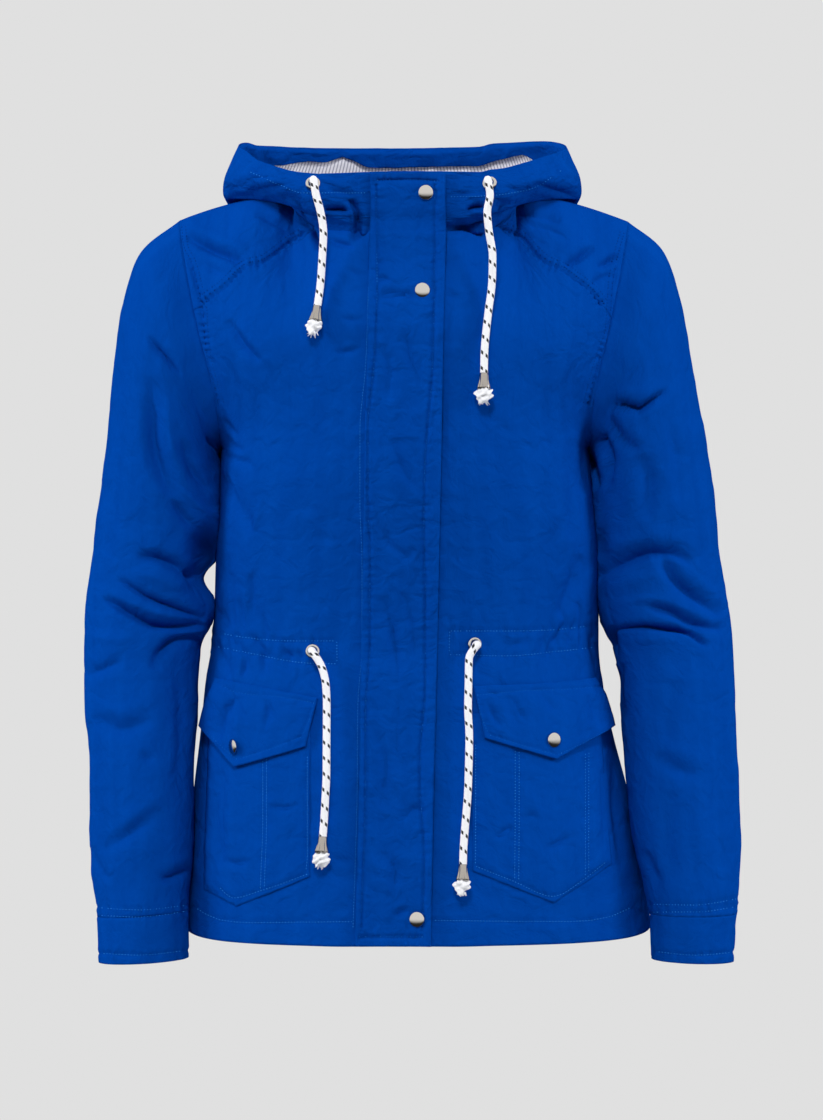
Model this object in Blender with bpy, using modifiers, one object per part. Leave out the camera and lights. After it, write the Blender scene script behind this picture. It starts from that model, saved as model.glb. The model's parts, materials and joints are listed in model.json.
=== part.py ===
"""A short hooded parka, filled out as if it were worn, with the hood down on the shoulders.

Metres, +Z up, the front faces -Y. The origin lies midway between the shoulders. Right and left are
the wearer's: the right side is at -X. Tables are in millimetres, a row for each section or fold.
"""

import math

import bmesh
import bpy
import numpy as np
from mathutils import Matrix, Vector

OBJECT_NAME = "parka"
MM = 0.001
SIDES = {"right": -1.0, "left": 1.0}

# Cloth
WALL = 1.2 * MM
SEAM_GAP = 0.3 * MM
HOOD_SEAM_GAP = 1.3 * MM
LAYER_STEP = 2.1 * MM
POCKET_STEP = 2.4 * MM
SEWN_SHARE = 0.35
LINING_STEP = 3.6 * MM
UNDERARM_CLEARANCE = 2.2 * MM
SLEEVE_CLEARANCE = 2.6 * MM

# Body
HEM_Z = -621 * MM
HEM_DIP = 8 * MM
UNDERARM_Z = -205 * MM
CHEST_Z = -130 * MM
SIDE_SEAM_Y = 5 * MM
ARMHOLE_HALF_DEPTH = 66 * MM
ARMHOLE_CHEST_X = {"right": 172 * MM, "left": 170 * MM}
SHOULDER_POINT = {"right": (198 * MM, 2 * MM, -5 * MM), "left": (196 * MM, 2 * MM, -6 * MM)}
SHOULDER_RISE = 4 * MM
NECK_SIDE_ANGLE = math.radians(100)
NECK_SHARE = 0.45
YOKE_START = 0.30
YOKE_HEIGHT, HALF_PANEL_WIDTH = 80 * MM, 200 * MM
CENTRE_X_TOP, CENTRE_X_HEM = 2.7 * MM, -9.6 * MM
SECTION_FULLNESS = 0.58
CHEST_BELLY = 1.25

# Trim
FLAP_WIDTH = 64 * MM
SLEEVE_LENGTH = 650 * MM
CAP_ROW, ELBOW_ROW, CUFF_SEAM_ROW = 0.28, 0.66, 0.93
SNAP_RADIUS, SNAP_HEIGHT = 6.6 * MM, 1.8 * MM
EYELET_RADIUS, EYELET_HOLE, EYELET_HEIGHT = 6.4 * MM, 3.7 * MM, 1.4 * MM
CORD_DIAMETER = 6.4 * MM
CORD_STEP = 15 * MM
CORD_REACH = 7 * MM
BEND_STOPS = (0.0, 2 * MM, 4.5 * MM, 8 * MM, 12 * MM, 18 * MM)
BELL_LENGTH, BELL_TOP_RADIUS, BELL_MOUTH_RADIUS = 13 * MM, 3.9 * MM, 5.2 * MM
KNOT_LENGTH, KNOT_WIDTH = 16 * MM, 11 * MM


def sections(columns, rows):
    """A table in millimetres as named columns in metres."""
    return {name: np.array(values) * MM for name, values in zip(columns.split(), zip(*rows))}


def folds(columns, rows):
    """A table of folds as one dictionary a row, in the row's own units."""
    return [dict(zip(columns.split(), row)) for row in rows]


BODY = sections(
    "z right left front back",
    [
        (-621, 193, 216, -139, 130),
        (-566, 190, 207, -135, 126),
        (-512, 186, 197, -128, 118),
        (-450, 179, 181, -120, 106),
        (-410, 175, 173, -115, 97),
        (-374, 169, 170, -110, 89),
        (-300, 166, 170, -116, 91),
        (-225, 162, 163, -124, 99),
        (-130, 161, 160, -121, 103),
    ],
)

# Soft vertical flutes: where they are across the front or back, from which height to which, how deep
BODY_FOLDS = folds(
    "face x top bottom half_width depth",
    [
        ("front", -120, -240, -390, 20, 4.0),
        ("front", 128, -250, -400, 22, 4.5),
        ("front", -58, -430, -640, 20, -3.5),
        ("front", 44, -430, -640, 22, -3.5),
        ("front", -92, -90, -190, 24, 2.5),
        ("back", -70, -330, -640, 26, -5.0),
        ("back", 15, -340, -640, 24, -4.0),
        ("back", 95, -330, -640, 28, -5.5),
    ],
)

SLEEVE = {
    "right": sections(
        "outer_x outer_z inner_x inner_z middle half_depth",
        [
            (233, -34, 164, -212, 2, 66),
            (247, -73, 163, -219, 0, 64),
            (256, -136, 160, -236, -2, 61),
            (263, -210, 157, -264, -5, 57),
            (274, -297, 160, -304, -9, 52),
            (279, -339, 162, -343, -12, 49),
            (280, -387, 180, -382, -18, 46),
            (279, -426, 181, -426, -27, 44),
            (273, -483, 182, -483, -43, 42),
            (272, -546, 183, -549, -54, 40),
            (268, -597, 187, -597, -60, 38),
            (267, -603, 187, -600, -61, 38),
            (264, -650, 187, -646, -64, 37),
        ],
    ),
    "left": sections(
        "outer_x outer_z inner_x inner_z middle half_depth",
        [
            (226, -31, 164, -212, 2, 66),
            (241, -70, 163, -219, 0, 64),
            (254, -142, 161, -236, -2, 61),
            (266, -210, 160, -262, -5, 57),
            (276, -295, 164, -300, -9, 52),
            (283, -343, 168, -346, -12, 49),
            (287, -386, 182, -384, -18, 46),
            (287, -426, 187, -426, -26, 44),
            (290, -492, 192, -492, -40, 42),
            (290, -541, 198, -546, -52, 40),
            (288, -589, 208, -589, -60, 38),
            (287, -602, 211, -602, -61, 38),
            (284, -649, 213, -647, -64, 37),
        ],
    ),
}

# Elbow and underarm folds: height, degrees round from the outer edge by the front, reach round the
# sleeve in degrees, slant in millimetres of drop per radian, half width and depth in millimetres
SLEEVE_FOLDS = folds(
    "side height around reach slant half_width depth",
    [
        ("right", -345, 80, 75, 14, 13, 6.0),
        ("right", -372, 110, 70, -10, 12, 5.0),
        ("right", -300, 150, 45, 12, 13, 5.0),
        ("right", -250, 150, 40, 24, 15, 4.0),
        ("right", -345, 250, 60, 10, 14, 5.0),
        ("left", -318, 95, 70, 12, 13, 5.5),
        ("left", -362, 80, 75, -8, 12, 6.0),
        ("left", -235, 150, 40, 22, 15, 4.5),
        ("left", -390, 140, 50, -12, 13, 4.5),
        ("left", -340, 250, 60, 10, 14, 5.0),
    ],
)

# The slanted yoke seam, from the neck seam out to the armhole
YOKE_SEAM = {
    "right": sections("x z", [(80, -15), (182, -80)]),
    "left": sections("x z", [(78, -17), (182, -93)]),
}

# Rings by the angle round the neck, 0 at centre front and 180 at centre back: the neck seam, then the
# hood's stand above it, its fold below, its outermost line and its rim
NECK_SEAM = sections(
    "angle x y z",
    [
        (0, 0, -83, -23),
        (30, 49, -73, -22),
        (55, 80, -50, -16),
        (80, 96, -19, 2),
        (100, 96, 8, 20),
        (130, 75, 44, 29),
        (180, 0, 72, 27),
    ],
)
HOOD_STAND = sections(
    "angle x y z",
    [
        (0, 0, -86, -15),
        (40, 67, -75, -12),
        (65, 98, -45, 4),
        (95, 117, 3, 30),
        (130, 90, 64, 40),
        (180, 0, 94, 38),
    ],
)
HOOD_UNDER = sections(
    "angle x y z",
    [
        (0, 0, -89, -8),
        (40, 76, -86, -4),
        (65, 113, -50, 8),
        (95, 154, 10, 14),
        (130, 119, 97, -38),
        (155, 72, 127, -96),
        (180, 0, 137, -122),
    ],
)
HOOD_OUTER = sections(
    "angle x y z",
    [
        (0, 0, -95, 9),
        (40, 82, -97, 12),
        (65, 125, -60, 25),
        (95, 158, 16, 32),
        (130, 138, 114, 16),
        (155, 84, 148, -16),
        (180, 0, 164, -30),
    ],
)
HOOD_RIM = sections(
    "angle x y z",
    [
        (0, 0, -100, 27),
        (40, 75, -95, 26),
        (65, 112, -60, 37),
        (95, 146, 30, 61),
        (130, 116, 91, 71),
        (180, 0, 120, 72),
    ],
)
HOOD_WIDTH = {"right": 1.01, "left": 0.98}
HOOD_SHARES = (0.0, 0.12, 0.42, 0.67, 1.0)
FACING_SHARE_FRONT, FACING_SHARE_BACK = 0.62, 0.95
HOOD_SEAM_ANGLE = (0.006, math.pi - 0.0025)

# Patch pockets and flaps, a row for the edge towards the centre, the point and the outer edge: the x
# and height of its top and of its bottom end, and how far that bottom end stands off the body
POCKET = {
    "right": sections(
        "x_top top x_bottom bottom lift",
        [(80, -438, 80, -571, 0), (143, -434, 143, -598, 0.5), (168, -430, 172, -586, 2)],
    ),
    "left": sections(
        "x_top top x_bottom bottom lift",
        [(57, -434, 57, -566, 0), (126, -434, 126, -594, 0.5), (167, -434, 177, -564, 2)],
    ),
}
POCKET_FLAP = {
    "right": sections(
        "x_top top x_bottom bottom lift",
        [(74, -421, 83, -462, 1), (143, -409, 143, -481, 2), (163, -406, 172, -448, 4)],
    ),
    "left": sections(
        "x_top top x_bottom bottom lift",
        [(58, -411, 67, -455, 1), (127, -409, 127, -474, 2), (164, -406, 174, -449, 6)],
    ),
}

SNAPS_ON_FLAP = sections("x z", [(17.8, 8), (14.9, -74.2), (10.3, -606)])
SNAP_NAMES = ("snap_top", "snap_chest", "snap_hem")
POCKET_SNAP = {"right": (143.5 * MM, -465 * MM), "left": (123 * MM, -459 * MM)}
# Where each eyelet sits, on which panel, and how far its back stands off the cloth
EYELETS = {
    "hood_right": {"panel": "hood", "x": -78.4 * MM, "z": 17.7 * MM, "off": 0.6 * MM},
    "hood_left": {"panel": "hood", "x": 72.3 * MM, "z": 17.9 * MM, "off": 0.6 * MM},
    "waist_right": {"panel": "front", "x": -78.2 * MM, "z": -381.2 * MM, "off": 1.2 * MM},
    "waist_left": {"panel": "front", "x": 59.2 * MM, "z": -375.3 * MM, "off": 1.2 * MM},
}

# Cord routes below their eyelets: x and z as they hang, and how far the middle stands off the cloth
CORD_ROUTE = {
    "hood_right": sections(
        "x z off",
        [
            (-75.5, 7, 6), (-71.5, -8, 6), (-69, -27, 6), (-70, -47, 6), (-72, -66, 9), (-74.5, -81, 12.5),
        ],
    ),
    "hood_left": sections(
        "x z off",
        [
            (72.3, 6, 6), (70, -8, 6), (71.5, -25, 6), (74.5, -46, 6), (74, -68, 6), (70.5, -96, 6),
            (67, -124, 7), (66, -141, 8),
        ],
    ),
    "waist_right": sections(
        "x z off",
        [
            (-71, -393, 10), (-67, -408, 10), (-66, -430, 10), (-66, -455, 11), (-66, -482, 11),
            (-67, -508, 10), (-68, -532, 9), (-69.5, -547, 9),
        ],
    ),
    "waist_left": sections(
        "x z off",
        [
            (54.5, -387, 10), (54, -406, 11), (53.5, -430, 12), (54.5, -452, 12), (54, -476, 12),
            (53, -502, 11), (51, -530, 10), (49, -553, 9), (48.5, -571, 9),
        ],
    ),
}

COLOURS = {
    "shell": ((0.003, 0.060, 0.370, 1.0), 0.5, 0.0),
    "lining": ((0.70, 0.70, 0.78, 1.0), 0.8, 0.0),
    "braid": ((0.85, 0.85, 0.85, 1.0), 0.8, 0.0),
    "nickel": ((0.72, 0.70, 0.67, 1.0), 0.25, 1.0),
}


def through(keys, values, at):
    """A smooth curve through the rows of a table that never overshoots between two rows."""
    keys, values = np.asarray(keys, float), np.asarray(values, float)
    step = np.diff(keys)
    slope = np.diff(values) / step
    tangent = np.concatenate([slope[:1], np.zeros(len(slope) - 1), slope[-1:]])
    same_way = slope[:-1] * slope[1:] > 0
    blend = (slope[:-1] * step[1:] + slope[1:] * step[:-1]) / (step[:-1] + step[1:])
    steepest = 2.5 * np.minimum(abs(slope[:-1]), abs(slope[1:]))
    tangent[1:-1] = np.where(same_way, np.clip(blend, -steepest, steepest), 0)
    at = np.clip(at, keys[0], keys[-1])
    row = np.clip(np.searchsorted(keys, at, side="right") - 1, 0, len(step) - 1)
    share = (at - keys[row]) / step[row]
    start_way, end_way = tangent[row] * step[row], tangent[row + 1] * step[row]
    return hermite(values[row], start_way, values[row + 1], end_way, share)


def hermite(start, start_way, end, end_way, share):
    """The cubic from start to end with those tangents."""
    square, cube = share**2, share**3
    return (
        (2 * cube - 3 * square + 1) * start
        + (cube - 2 * square + share) * start_way
        + (3 * square - 2 * cube) * end
        + (cube - square) * end_way
    )


def smooth_step(low, high, at):
    share = np.clip((at - low) / (high - low), 0, 1)
    return share**2 * (3 - 2 * share)


def stack(*parts):
    """Separate x, y and z arrays as points."""
    return np.stack(np.broadcast_arrays(*parts), axis=-1)


def ring_point(ring, angle):
    """A ring at these angles, mirrored past the centre lines so that it stays round there."""
    degrees = ring["angle"] / MM
    keys = np.concatenate([[-degrees[1]], degrees, [360 - degrees[-2]]])
    parts = []
    for name, mirror in (("x", -1), ("y", 1), ("z", 1)):
        values = np.concatenate([[mirror * ring[name][1]], ring[name], [mirror * ring[name][-2]]])
        parts.append(through(keys, values, np.degrees(angle)))
    return stack(*parts)


def centre_x(z):
    """The line of the front opening, which hangs a little to the right."""
    share = np.clip((z - HEM_Z) / -HEM_Z, 0, 1)
    return CENTRE_X_HEM + (CENTRE_X_TOP - CENTRE_X_HEM) * share


def body_section(side, back, u, z):
    """One level of the body, from the centre line at u = 0 to the side seam or the armhole at u = 1."""
    sign = SIDES[side]
    face = 1.0 if back else -1.0
    depth = through(BODY["z"], BODY["back" if back else "front"], z)
    seam_x = through(BODY["z"], BODY[side], z)
    rise = np.clip((z - UNDERARM_Z) / (CHEST_Z - UNDERARM_Z), 0, 1)
    round_edge = np.sqrt(np.clip(1 - (1 - rise) ** 2, 0, 1))
    edge_x = seam_x + (ARMHOLE_CHEST_X[side] - seam_x) * rise**2
    edge_y = SIDE_SEAM_Y + face * ARMHOLE_HALF_DEPTH * round_edge
    turn = math.radians(90) - math.radians(38) * round_edge
    start_x = centre_x(z) * sign
    if back:
        start_x = np.zeros_like(start_x)
    handle = SECTION_FULLNESS * abs(edge_y - depth)
    second_x = start_x + SECTION_FULLNESS * (edge_x - start_x)
    third_x = edge_x - handle * np.cos(turn)
    third_y = edge_y + face * handle * np.sin(turn)
    first, second = (1 - u) ** 3, 3 * u * (1 - u) ** 2
    third, fourth = 3 * u**2 * (1 - u), u**3
    x = first * start_x + second * second_x + third * third_x + fourth * edge_x
    y = (first + second) * depth + third * third_y + fourth * edge_y
    return stack(sign * x, y, z)


def top_line(side, back, u):
    """The upper edge of the body: the neck seam, then the shoulder seam out to the shoulder point."""
    sign = SIDES[side]
    start = math.pi if back else 0.0
    angle = start + (NECK_SIDE_ANGLE - start) * np.clip(u / NECK_SHARE, 0, 1)
    collar = ring_point(NECK_SEAM, angle)
    along = np.clip((u - NECK_SHARE) / (1 - NECK_SHARE), 0, 1)[..., None]
    end = np.array(SHOULDER_POINT[side])
    line = collar + (end - ring_point(NECK_SEAM, np.array(NECK_SIDE_ANGLE))) * along
    line[..., 2] += SHOULDER_RISE * np.sin(math.pi * along[..., 0])
    return line * np.array([sign, 1.0, 1.0])


def body(side, back, u, v):
    """A point of the body: v runs 0 to 1 from the hem to the chest, then to 2 at the top line."""
    u, v = np.broadcast_arrays(np.asarray(u, float), np.asarray(v, float))
    level = HEM_Z + (CHEST_Z - HEM_Z) * np.clip(v, 0, 1)
    low = body_section(side, back, u, level)
    low[..., 2] -= HEM_DIP * (1 - u**5) * (1 - np.clip(v, 0, 1)) ** 4
    chest = body_section(side, back, u, np.full_like(level, CHEST_Z))
    below = body_section(side, back, u, np.full_like(level, CHEST_Z - 5 * MM))
    upward = (chest - below) / (5 * MM)
    top = top_line(side, back, u)
    rise = (top - chest)[..., 2:]
    run = abs(top - chest)[..., 1:2]
    over = smooth_step(0.2, 0.75, u)[..., None]
    face = 1.0 if back else -1.0
    lean = np.array([0.0, -face * 0.35, 0.94]) * (1 - over) + np.array([0.0, -face, 0.05]) * over
    end_way = lean * CHEST_BELLY * (rise * (1 - over) + run * over)
    loft = hermite(chest, upward * rise * CHEST_BELLY, top, end_way, np.clip(v - 1, 0, 1)[..., None])
    points = np.where((v > 1)[..., None], loft, low)
    points[..., 1] += drape("back" if back else "front", points)
    return points


def drape(face, points):
    """How far the soft flutes move the cloth along Y."""
    move = np.zeros(points.shape[:-1])
    for fold in BODY_FOLDS:
        if fold["face"] != face:
            continue
        top, bottom = fold["top"] * MM, fold["bottom"] * MM
        fade = min(60 * MM, (top - bottom) / 2)
        window = smooth_step(bottom - fade, bottom, points[..., 2]) * (
            1 - smooth_step(top - fade, top, points[..., 2])
        )
        across = (points[..., 0] - fold["x"] * MM) / (fold["half_width"] * MM)
        move += fold["depth"] * MM * np.exp(-(across**2)) * window
    return move


def yoke_line(side, u):
    """The v of the slanted seam between the front and the yoke, or of the neck seam inside of it."""
    seam = YOKE_SEAM[side]
    steep = (seam["z"][1] - seam["z"][0]) / (seam["x"][1] - seam["x"][0])

    def above(v):
        place = body(side, False, u, v)
        return place[..., 2] - seam["z"][0] - steep * (abs(place[..., 0]) - seam["x"][0])

    return solve(above, np.zeros_like(u), 1.0, 2.0)


def normals(surface, u, v):
    """Unit normals of a surface, by small steps along both of its parameters."""
    step = 1e-4
    along = surface(u + step, v) - surface(u - step, v)
    up = surface(u, v + step) - surface(u, v - step)
    normal = np.cross(along, up)
    return normal / np.linalg.norm(normal, axis=-1, keepdims=True)


def front_normals(side, u, v):
    way = normals(lambda a, b: body(side, False, a, b), np.clip(u, 2e-4, 1 - 2e-4), np.clip(v, 2e-4, 1.9998))
    return way * SIDES[side]


def solve(function, target, low, high):
    """Where a rising function meets its target, by halving."""
    low, high = np.full_like(target, low), np.full_like(target, high)
    for _ in range(26):
        middle = (low + high) / 2
        under = function(middle) < target
        low, high = np.where(under, middle, low), np.where(under, high, middle)
    return (low + high) / 2


def front_place(side, x, z):
    """The u and v of the front at this x (outwards) and z."""
    x, z = np.broadcast_arrays(np.asarray(x, float), np.asarray(z, float))
    u = np.full_like(x, 0.5)
    for _ in range(3):
        v = solve(lambda b: body(side, False, u, b)[..., 2], z, 0.0, 2.0)
        u = solve(lambda a: body(side, False, a, v)[..., 0] * SIDES[side], x, 0.0, 1.0)
    return u, v


def on_front(side, x, z, off):
    """Points at x and z, moved out from the front by a distance."""
    u, v = front_place(side, x, z)
    return body(side, False, u, v) + front_normals(side, u, v) * np.asarray(off)[..., None]


def hood(side, angle, t):
    """A point of the hood: t runs from the neck seam by the fold and the outermost line to the rim."""
    angle, t = np.broadcast_arrays(np.asarray(angle, float), np.asarray(t, float))
    seam = ring_point(NECK_SEAM, angle)
    seam[..., 2] += HOOD_SEAM_GAP
    fuller = np.array([HOOD_WIDTH[side], 1.0, 1.0])
    rings = [ring_point(ring, angle) * fuller for ring in (HOOD_STAND, HOOD_UNDER, HOOD_OUTER, HOOD_RIM)]
    rings.insert(0, seam)
    shares, last = HOOD_SHARES, len(HOOD_SHARES) - 1
    ways = []
    for row in range(last + 1):
        low, high = max(row - 1, 0), min(row + 1, last)
        ways.append((rings[high] - rings[low]) / (shares[high] - shares[low]))
    points = np.zeros(t.shape + (3,))
    for row in range(last):
        span = shares[row + 1] - shares[row]
        share = np.clip((t - shares[row]) / span, 0, 1)[..., None]
        piece = hermite(rings[row], ways[row] * span, rings[row + 1], ways[row + 1] * span, share)
        inside = (t >= shares[row]) & (t <= shares[row + 1])
        points = np.where(inside[..., None], piece, points)
    return points * np.array([SIDES[side], 1.0, 1.0])


def hood_normals(side, angle, t):
    way = normals(lambda a, b: hood(side, a, b), angle, np.clip(t, 2e-4, 1 - 2e-4))
    return way * SIDES[side]


def hood_place(side, x, z):
    """The angle and t on the front wall of the hood at this x (outwards) and z."""
    angle, t = np.full(1, 0.6), np.full(1, 0.8)
    for _ in range(5):
        t = solve(lambda b: hood(side, angle, b)[..., 2], np.full(1, z), 0.1, 1.0)
        angle = solve(lambda a: hood(side, a, t)[..., 0] * SIDES[side], np.full(1, x), 0.0, 1.4)
    return angle, t


def facing_line(angle):
    """The t of the facing's and of the lining's edge where they meet."""
    back = smooth_step(0.3, 2.6, angle)
    facing = FACING_SHARE_FRONT + (FACING_SHARE_BACK - FACING_SHARE_FRONT) * back
    return facing, facing - 0.055 + 0.049 * back


def make_material(name):
    colour, roughness, metallic = COLOURS[name]
    material = bpy.data.materials.new(name)
    material.use_nodes = True
    shader = material.node_tree.nodes["Principled BSDF"]
    shader.inputs["Base Color"].default_value = colour
    shader.inputs["Roughness"].default_value = roughness
    shader.inputs["Metallic"].default_value = metallic
    material.diffuse_color = colour
    return material


def add_object(name, data, material, collection):
    thing = bpy.data.objects.new(name, data)
    data.materials.append(material)
    collection.objects.link(thing)
    return thing


def cloth(name, points, material, collection, tube=False):
    """A cloth wall through a grid of points, closed round where it is a tube."""
    rows, columns = points.shape[:2]
    shape = bmesh.new()
    bmesh.ops.create_grid(shape, x_segments=columns - 1, y_segments=rows - 1, size=1.0)
    for vertex, place in zip(shape.verts, points.reshape(-1, 3)):
        vertex.co = place
    if tube:
        bmesh.ops.remove_doubles(shape, verts=shape.verts, dist=1e-6)
    mesh = bpy.data.meshes.new(name)
    shape.to_mesh(mesh)
    shape.free()
    mesh.shade_smooth()
    thing = add_object(name, mesh, material, collection)
    wall = thing.modifiers.new("wall", "SOLIDIFY")
    wall.thickness = WALL
    wall.offset = 0.0
    return thing


def turned(name, profile, place, way, material, collection, steps=16):
    """A turned piece: radius and height pairs, top to bottom, stood on a place along a way."""
    mesh = bpy.data.meshes.new(name)
    shape = bmesh.new()
    ring = [shape.verts.new((radius, 0.0, height)) for radius, height in profile]
    for first, second in zip(ring, ring[1:]):
        shape.edges.new((first, second))
    if profile[0][0] > 0:
        shape.edges.new((ring[-1], ring[0]))
    shape.to_mesh(mesh)
    shape.free()
    thing = add_object(name, mesh, material, collection)
    screw = thing.modifiers.new("turn", "SCREW")
    screw.steps = screw.render_steps = steps
    screw.use_merge_vertices = True
    screw.merge_threshold = 0.00001
    turn = Vector(way).to_track_quat("Z", "Y").to_matrix().to_4x4()
    thing.matrix_world = Matrix.Translation(Vector(place)) @ turn
    return thing


LOW_ROWS, ARM_ROWS, TOP_ROWS, YOKE_ROWS = 10, 3, 3, 3


def low_rows():
    """The v values from the hem up to the chest, with a row at the underarm and even turns above it."""
    underarm = (UNDERARM_Z - HEM_Z) / (CHEST_Z - HEM_Z)
    lower = np.linspace(0, underarm, LOW_ROWS + 1)
    turn = np.linspace(0, math.pi / 2, ARM_ROWS + 1)[1:]
    return np.concatenate([lower, 1 - (1 - underarm) * np.cos(turn)])


def armhole(side):
    """The armhole round from the shoulder point by the front and the underarm to the back."""
    seam = yoke_line(side, np.ones(1))[0]
    up = np.concatenate([low_rows()[LOW_ROWS:], np.linspace(1, seam, TOP_ROWS + 1)[1:]])
    front_v = np.concatenate([up, np.linspace(seam, 2, YOKE_ROWS + 1)[1:]])
    back_v = np.concatenate([low_rows()[LOW_ROWS:], np.linspace(1, 2, TOP_ROWS + YOKE_ROWS + 1)[1:]])
    front = body(side, False, np.ones_like(front_v), front_v)
    back = body(side, True, np.ones_like(back_v), back_v)
    return np.concatenate([front[::-1], back[1:]])


def add_body(cloth_material, collection):
    trim = SEAM_GAP / HALF_PANEL_WIDTH
    for side in SIDES:
        u = np.linspace(0, 1, 10)
        u[0], u[-1] = trim, 1 - trim
        lower = np.repeat(low_rows()[:, None], len(u), axis=1)
        seam = yoke_line(side, u) - SEAM_GAP / YOKE_HEIGHT
        upper = 1 + (seam - 1) * np.linspace(0, 1, TOP_ROWS + 1)[1:, None]
        v = np.concatenate([lower, upper])
        cloth(f"front_{side}", body(side, False, u[None, :] + 0 * v, v), cloth_material, collection)
        u = np.concatenate([np.linspace(YOKE_START, NECK_SHARE, 3), np.linspace(NECK_SHARE, 1, 5)[1:]])
        u[-1] -= trim
        share = np.linspace(0, 1, YOKE_ROWS + 1)[:, None]
        seam = yoke_line(side, u) + SEAM_GAP / YOKE_HEIGHT
        v = seam + (2 - SEAM_GAP / YOKE_HEIGHT - seam) * share
        cloth(f"yoke_{side}", body(side, False, u[None, :] + 0 * v, v), cloth_material, collection)
    v = np.concatenate([low_rows(), np.linspace(1, 2, TOP_ROWS + YOKE_ROWS + 1)[1:]])[:, None]
    v[-1] -= SEAM_GAP / YOKE_HEIGHT
    u = np.concatenate([np.linspace(0, NECK_SHARE, 5), np.linspace(NECK_SHARE, 1, 5)[1:]])
    u[-1] -= trim
    right = body("right", True, u[None, ::-1] + 0 * v, v + 0 * u)
    left = body("left", True, u[None, 1:] + 0 * v, v + 0 * u[1:])
    cloth("back", np.concatenate([right, left], axis=1), cloth_material, collection)


def sleeve_folds(side, height, around):
    """How far the folds sink into a sleeve."""
    sink = np.zeros(np.broadcast(height, around).shape)
    for fold in SLEEVE_FOLDS:
        if fold["side"] != side:
            continue
        turn = around - math.radians(fold["around"])
        crest = fold["height"] * MM - fold["slant"] * MM * turn
        across = (height - crest) / (fold["half_width"] * MM)
        along = turn / math.radians(fold["reach"])
        sink += fold["depth"] * MM * np.exp(-(across**2) - along**2)
    return sink


def sleeve(side, rows):
    """Rings of the sleeve and its cuff at these shares of the way from the armhole to the cuff edge."""
    sign = np.array([SIDES[side], 1.0, 1.0])
    ring = armhole(side) * sign
    table = SLEEVE[side]
    outer = stack(table["outer_x"], table["middle"], table["outer_z"])
    inner = stack(table["inner_x"], table["middle"], table["inner_z"])
    axis = (ring[0] - ring[LOWEST]) / 2
    middle = (ring[0] + ring[LOWEST]) / 2
    around = np.arccos(np.clip((ring - middle) @ axis / (axis @ axis), -1, 1))
    around[LOWEST:] = 2 * math.pi - around[LOWEST:]
    around[-1] = 2 * math.pi
    low = (1 - np.cos(around)) / 2
    start = ring + stack(SEAM_GAP * 2 + UNDERARM_CLEARANCE * low**3, 0 * low, 0 * low)
    wide = (outer - inner)[:, None] / 2 * np.cos(around)[None, :, None]
    deep = table["half_depth"][:, None] * -np.sin(around)
    rings = (outer + inner)[:, None] / 2 + wide
    rings[..., 1] += deep
    rings = np.concatenate([start[None], rings])
    centre = rings.mean(axis=1)
    keys = np.concatenate([[0], np.cumsum(np.linalg.norm(np.diff(centre, axis=0), axis=1))])
    keys /= keys[-1]
    at = np.asarray(rows)
    points = np.empty((len(at), len(around), 3))
    for column in range(len(around)):
        for axis_number in range(3):
            points[:, column, axis_number] = through(keys, rings[:, column, axis_number], at)
    inward = points.mean(axis=1, keepdims=True) - points
    inward /= np.linalg.norm(inward, axis=-1, keepdims=True)
    fade = smooth_step(0.05, 0.12, at)[:, None]
    points += inward * (sleeve_folds(side, points[..., 2], around[None, :]) * fade)[..., None]
    return clear_of_body(side, points) * sign


LOWEST = YOKE_ROWS + TOP_ROWS + ARM_ROWS


def clear_of_body(side, points):
    """Moves the inner wall of a sleeve out, where it would touch the side of the body."""
    u = np.linspace(0.3, 1, 60)
    height = np.clip(points[..., 2], HEM_Z, UNDERARM_Z)
    v = ((height - HEM_Z) / (CHEST_Z - HEM_Z))[..., None]
    moved = points.copy()
    for back, face in ((False, 1.0), (True, -1.0)):
        level = body(side, back, u + 0 * v, v + 0 * u)
        depth = level[..., 1] * face
        at = np.clip(points[..., 1] * face, depth[..., 0], depth[..., -1])
        row = np.clip((depth < at[..., None]).sum(axis=-1), 1, len(u) - 1)[..., None]
        low, high = (np.take_along_axis(depth, row - k, -1)[..., 0] for k in (1, 0))
        near, far = (np.take_along_axis(abs(level[..., 0]), row - k, -1)[..., 0] for k in (1, 0))
        wall_x = near + (far - near) * (at - low) / np.maximum(high - low, 1e-9)
        here = (points[..., 2] < UNDERARM_Z - 2 * MM) & ((points[..., 1] > SIDE_SEAM_Y) == back)
        moved[..., 0] = np.where(here, np.maximum(moved[..., 0], wall_x + SLEEVE_CLEARANCE), moved[..., 0])
    return moved


def add_sleeves(cloth_material, collection):
    for side in SIDES:
        cap, elbow = np.linspace(0, CAP_ROW, 7), np.linspace(CAP_ROW, ELBOW_ROW, 12)[1:]
        rows = np.concatenate([cap, elbow, np.linspace(ELBOW_ROW, CUFF_SEAM_ROW, 5)[1:]])
        cloth(f"sleeve_{side}", sleeve(side, rows), cloth_material, collection, tube=True)
        rows = np.linspace(CUFF_SEAM_ROW + SEAM_GAP / SLEEVE_LENGTH, 1, 3)
        cloth(f"cuff_{side}", sleeve(side, rows), cloth_material, collection, tube=True)


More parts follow.
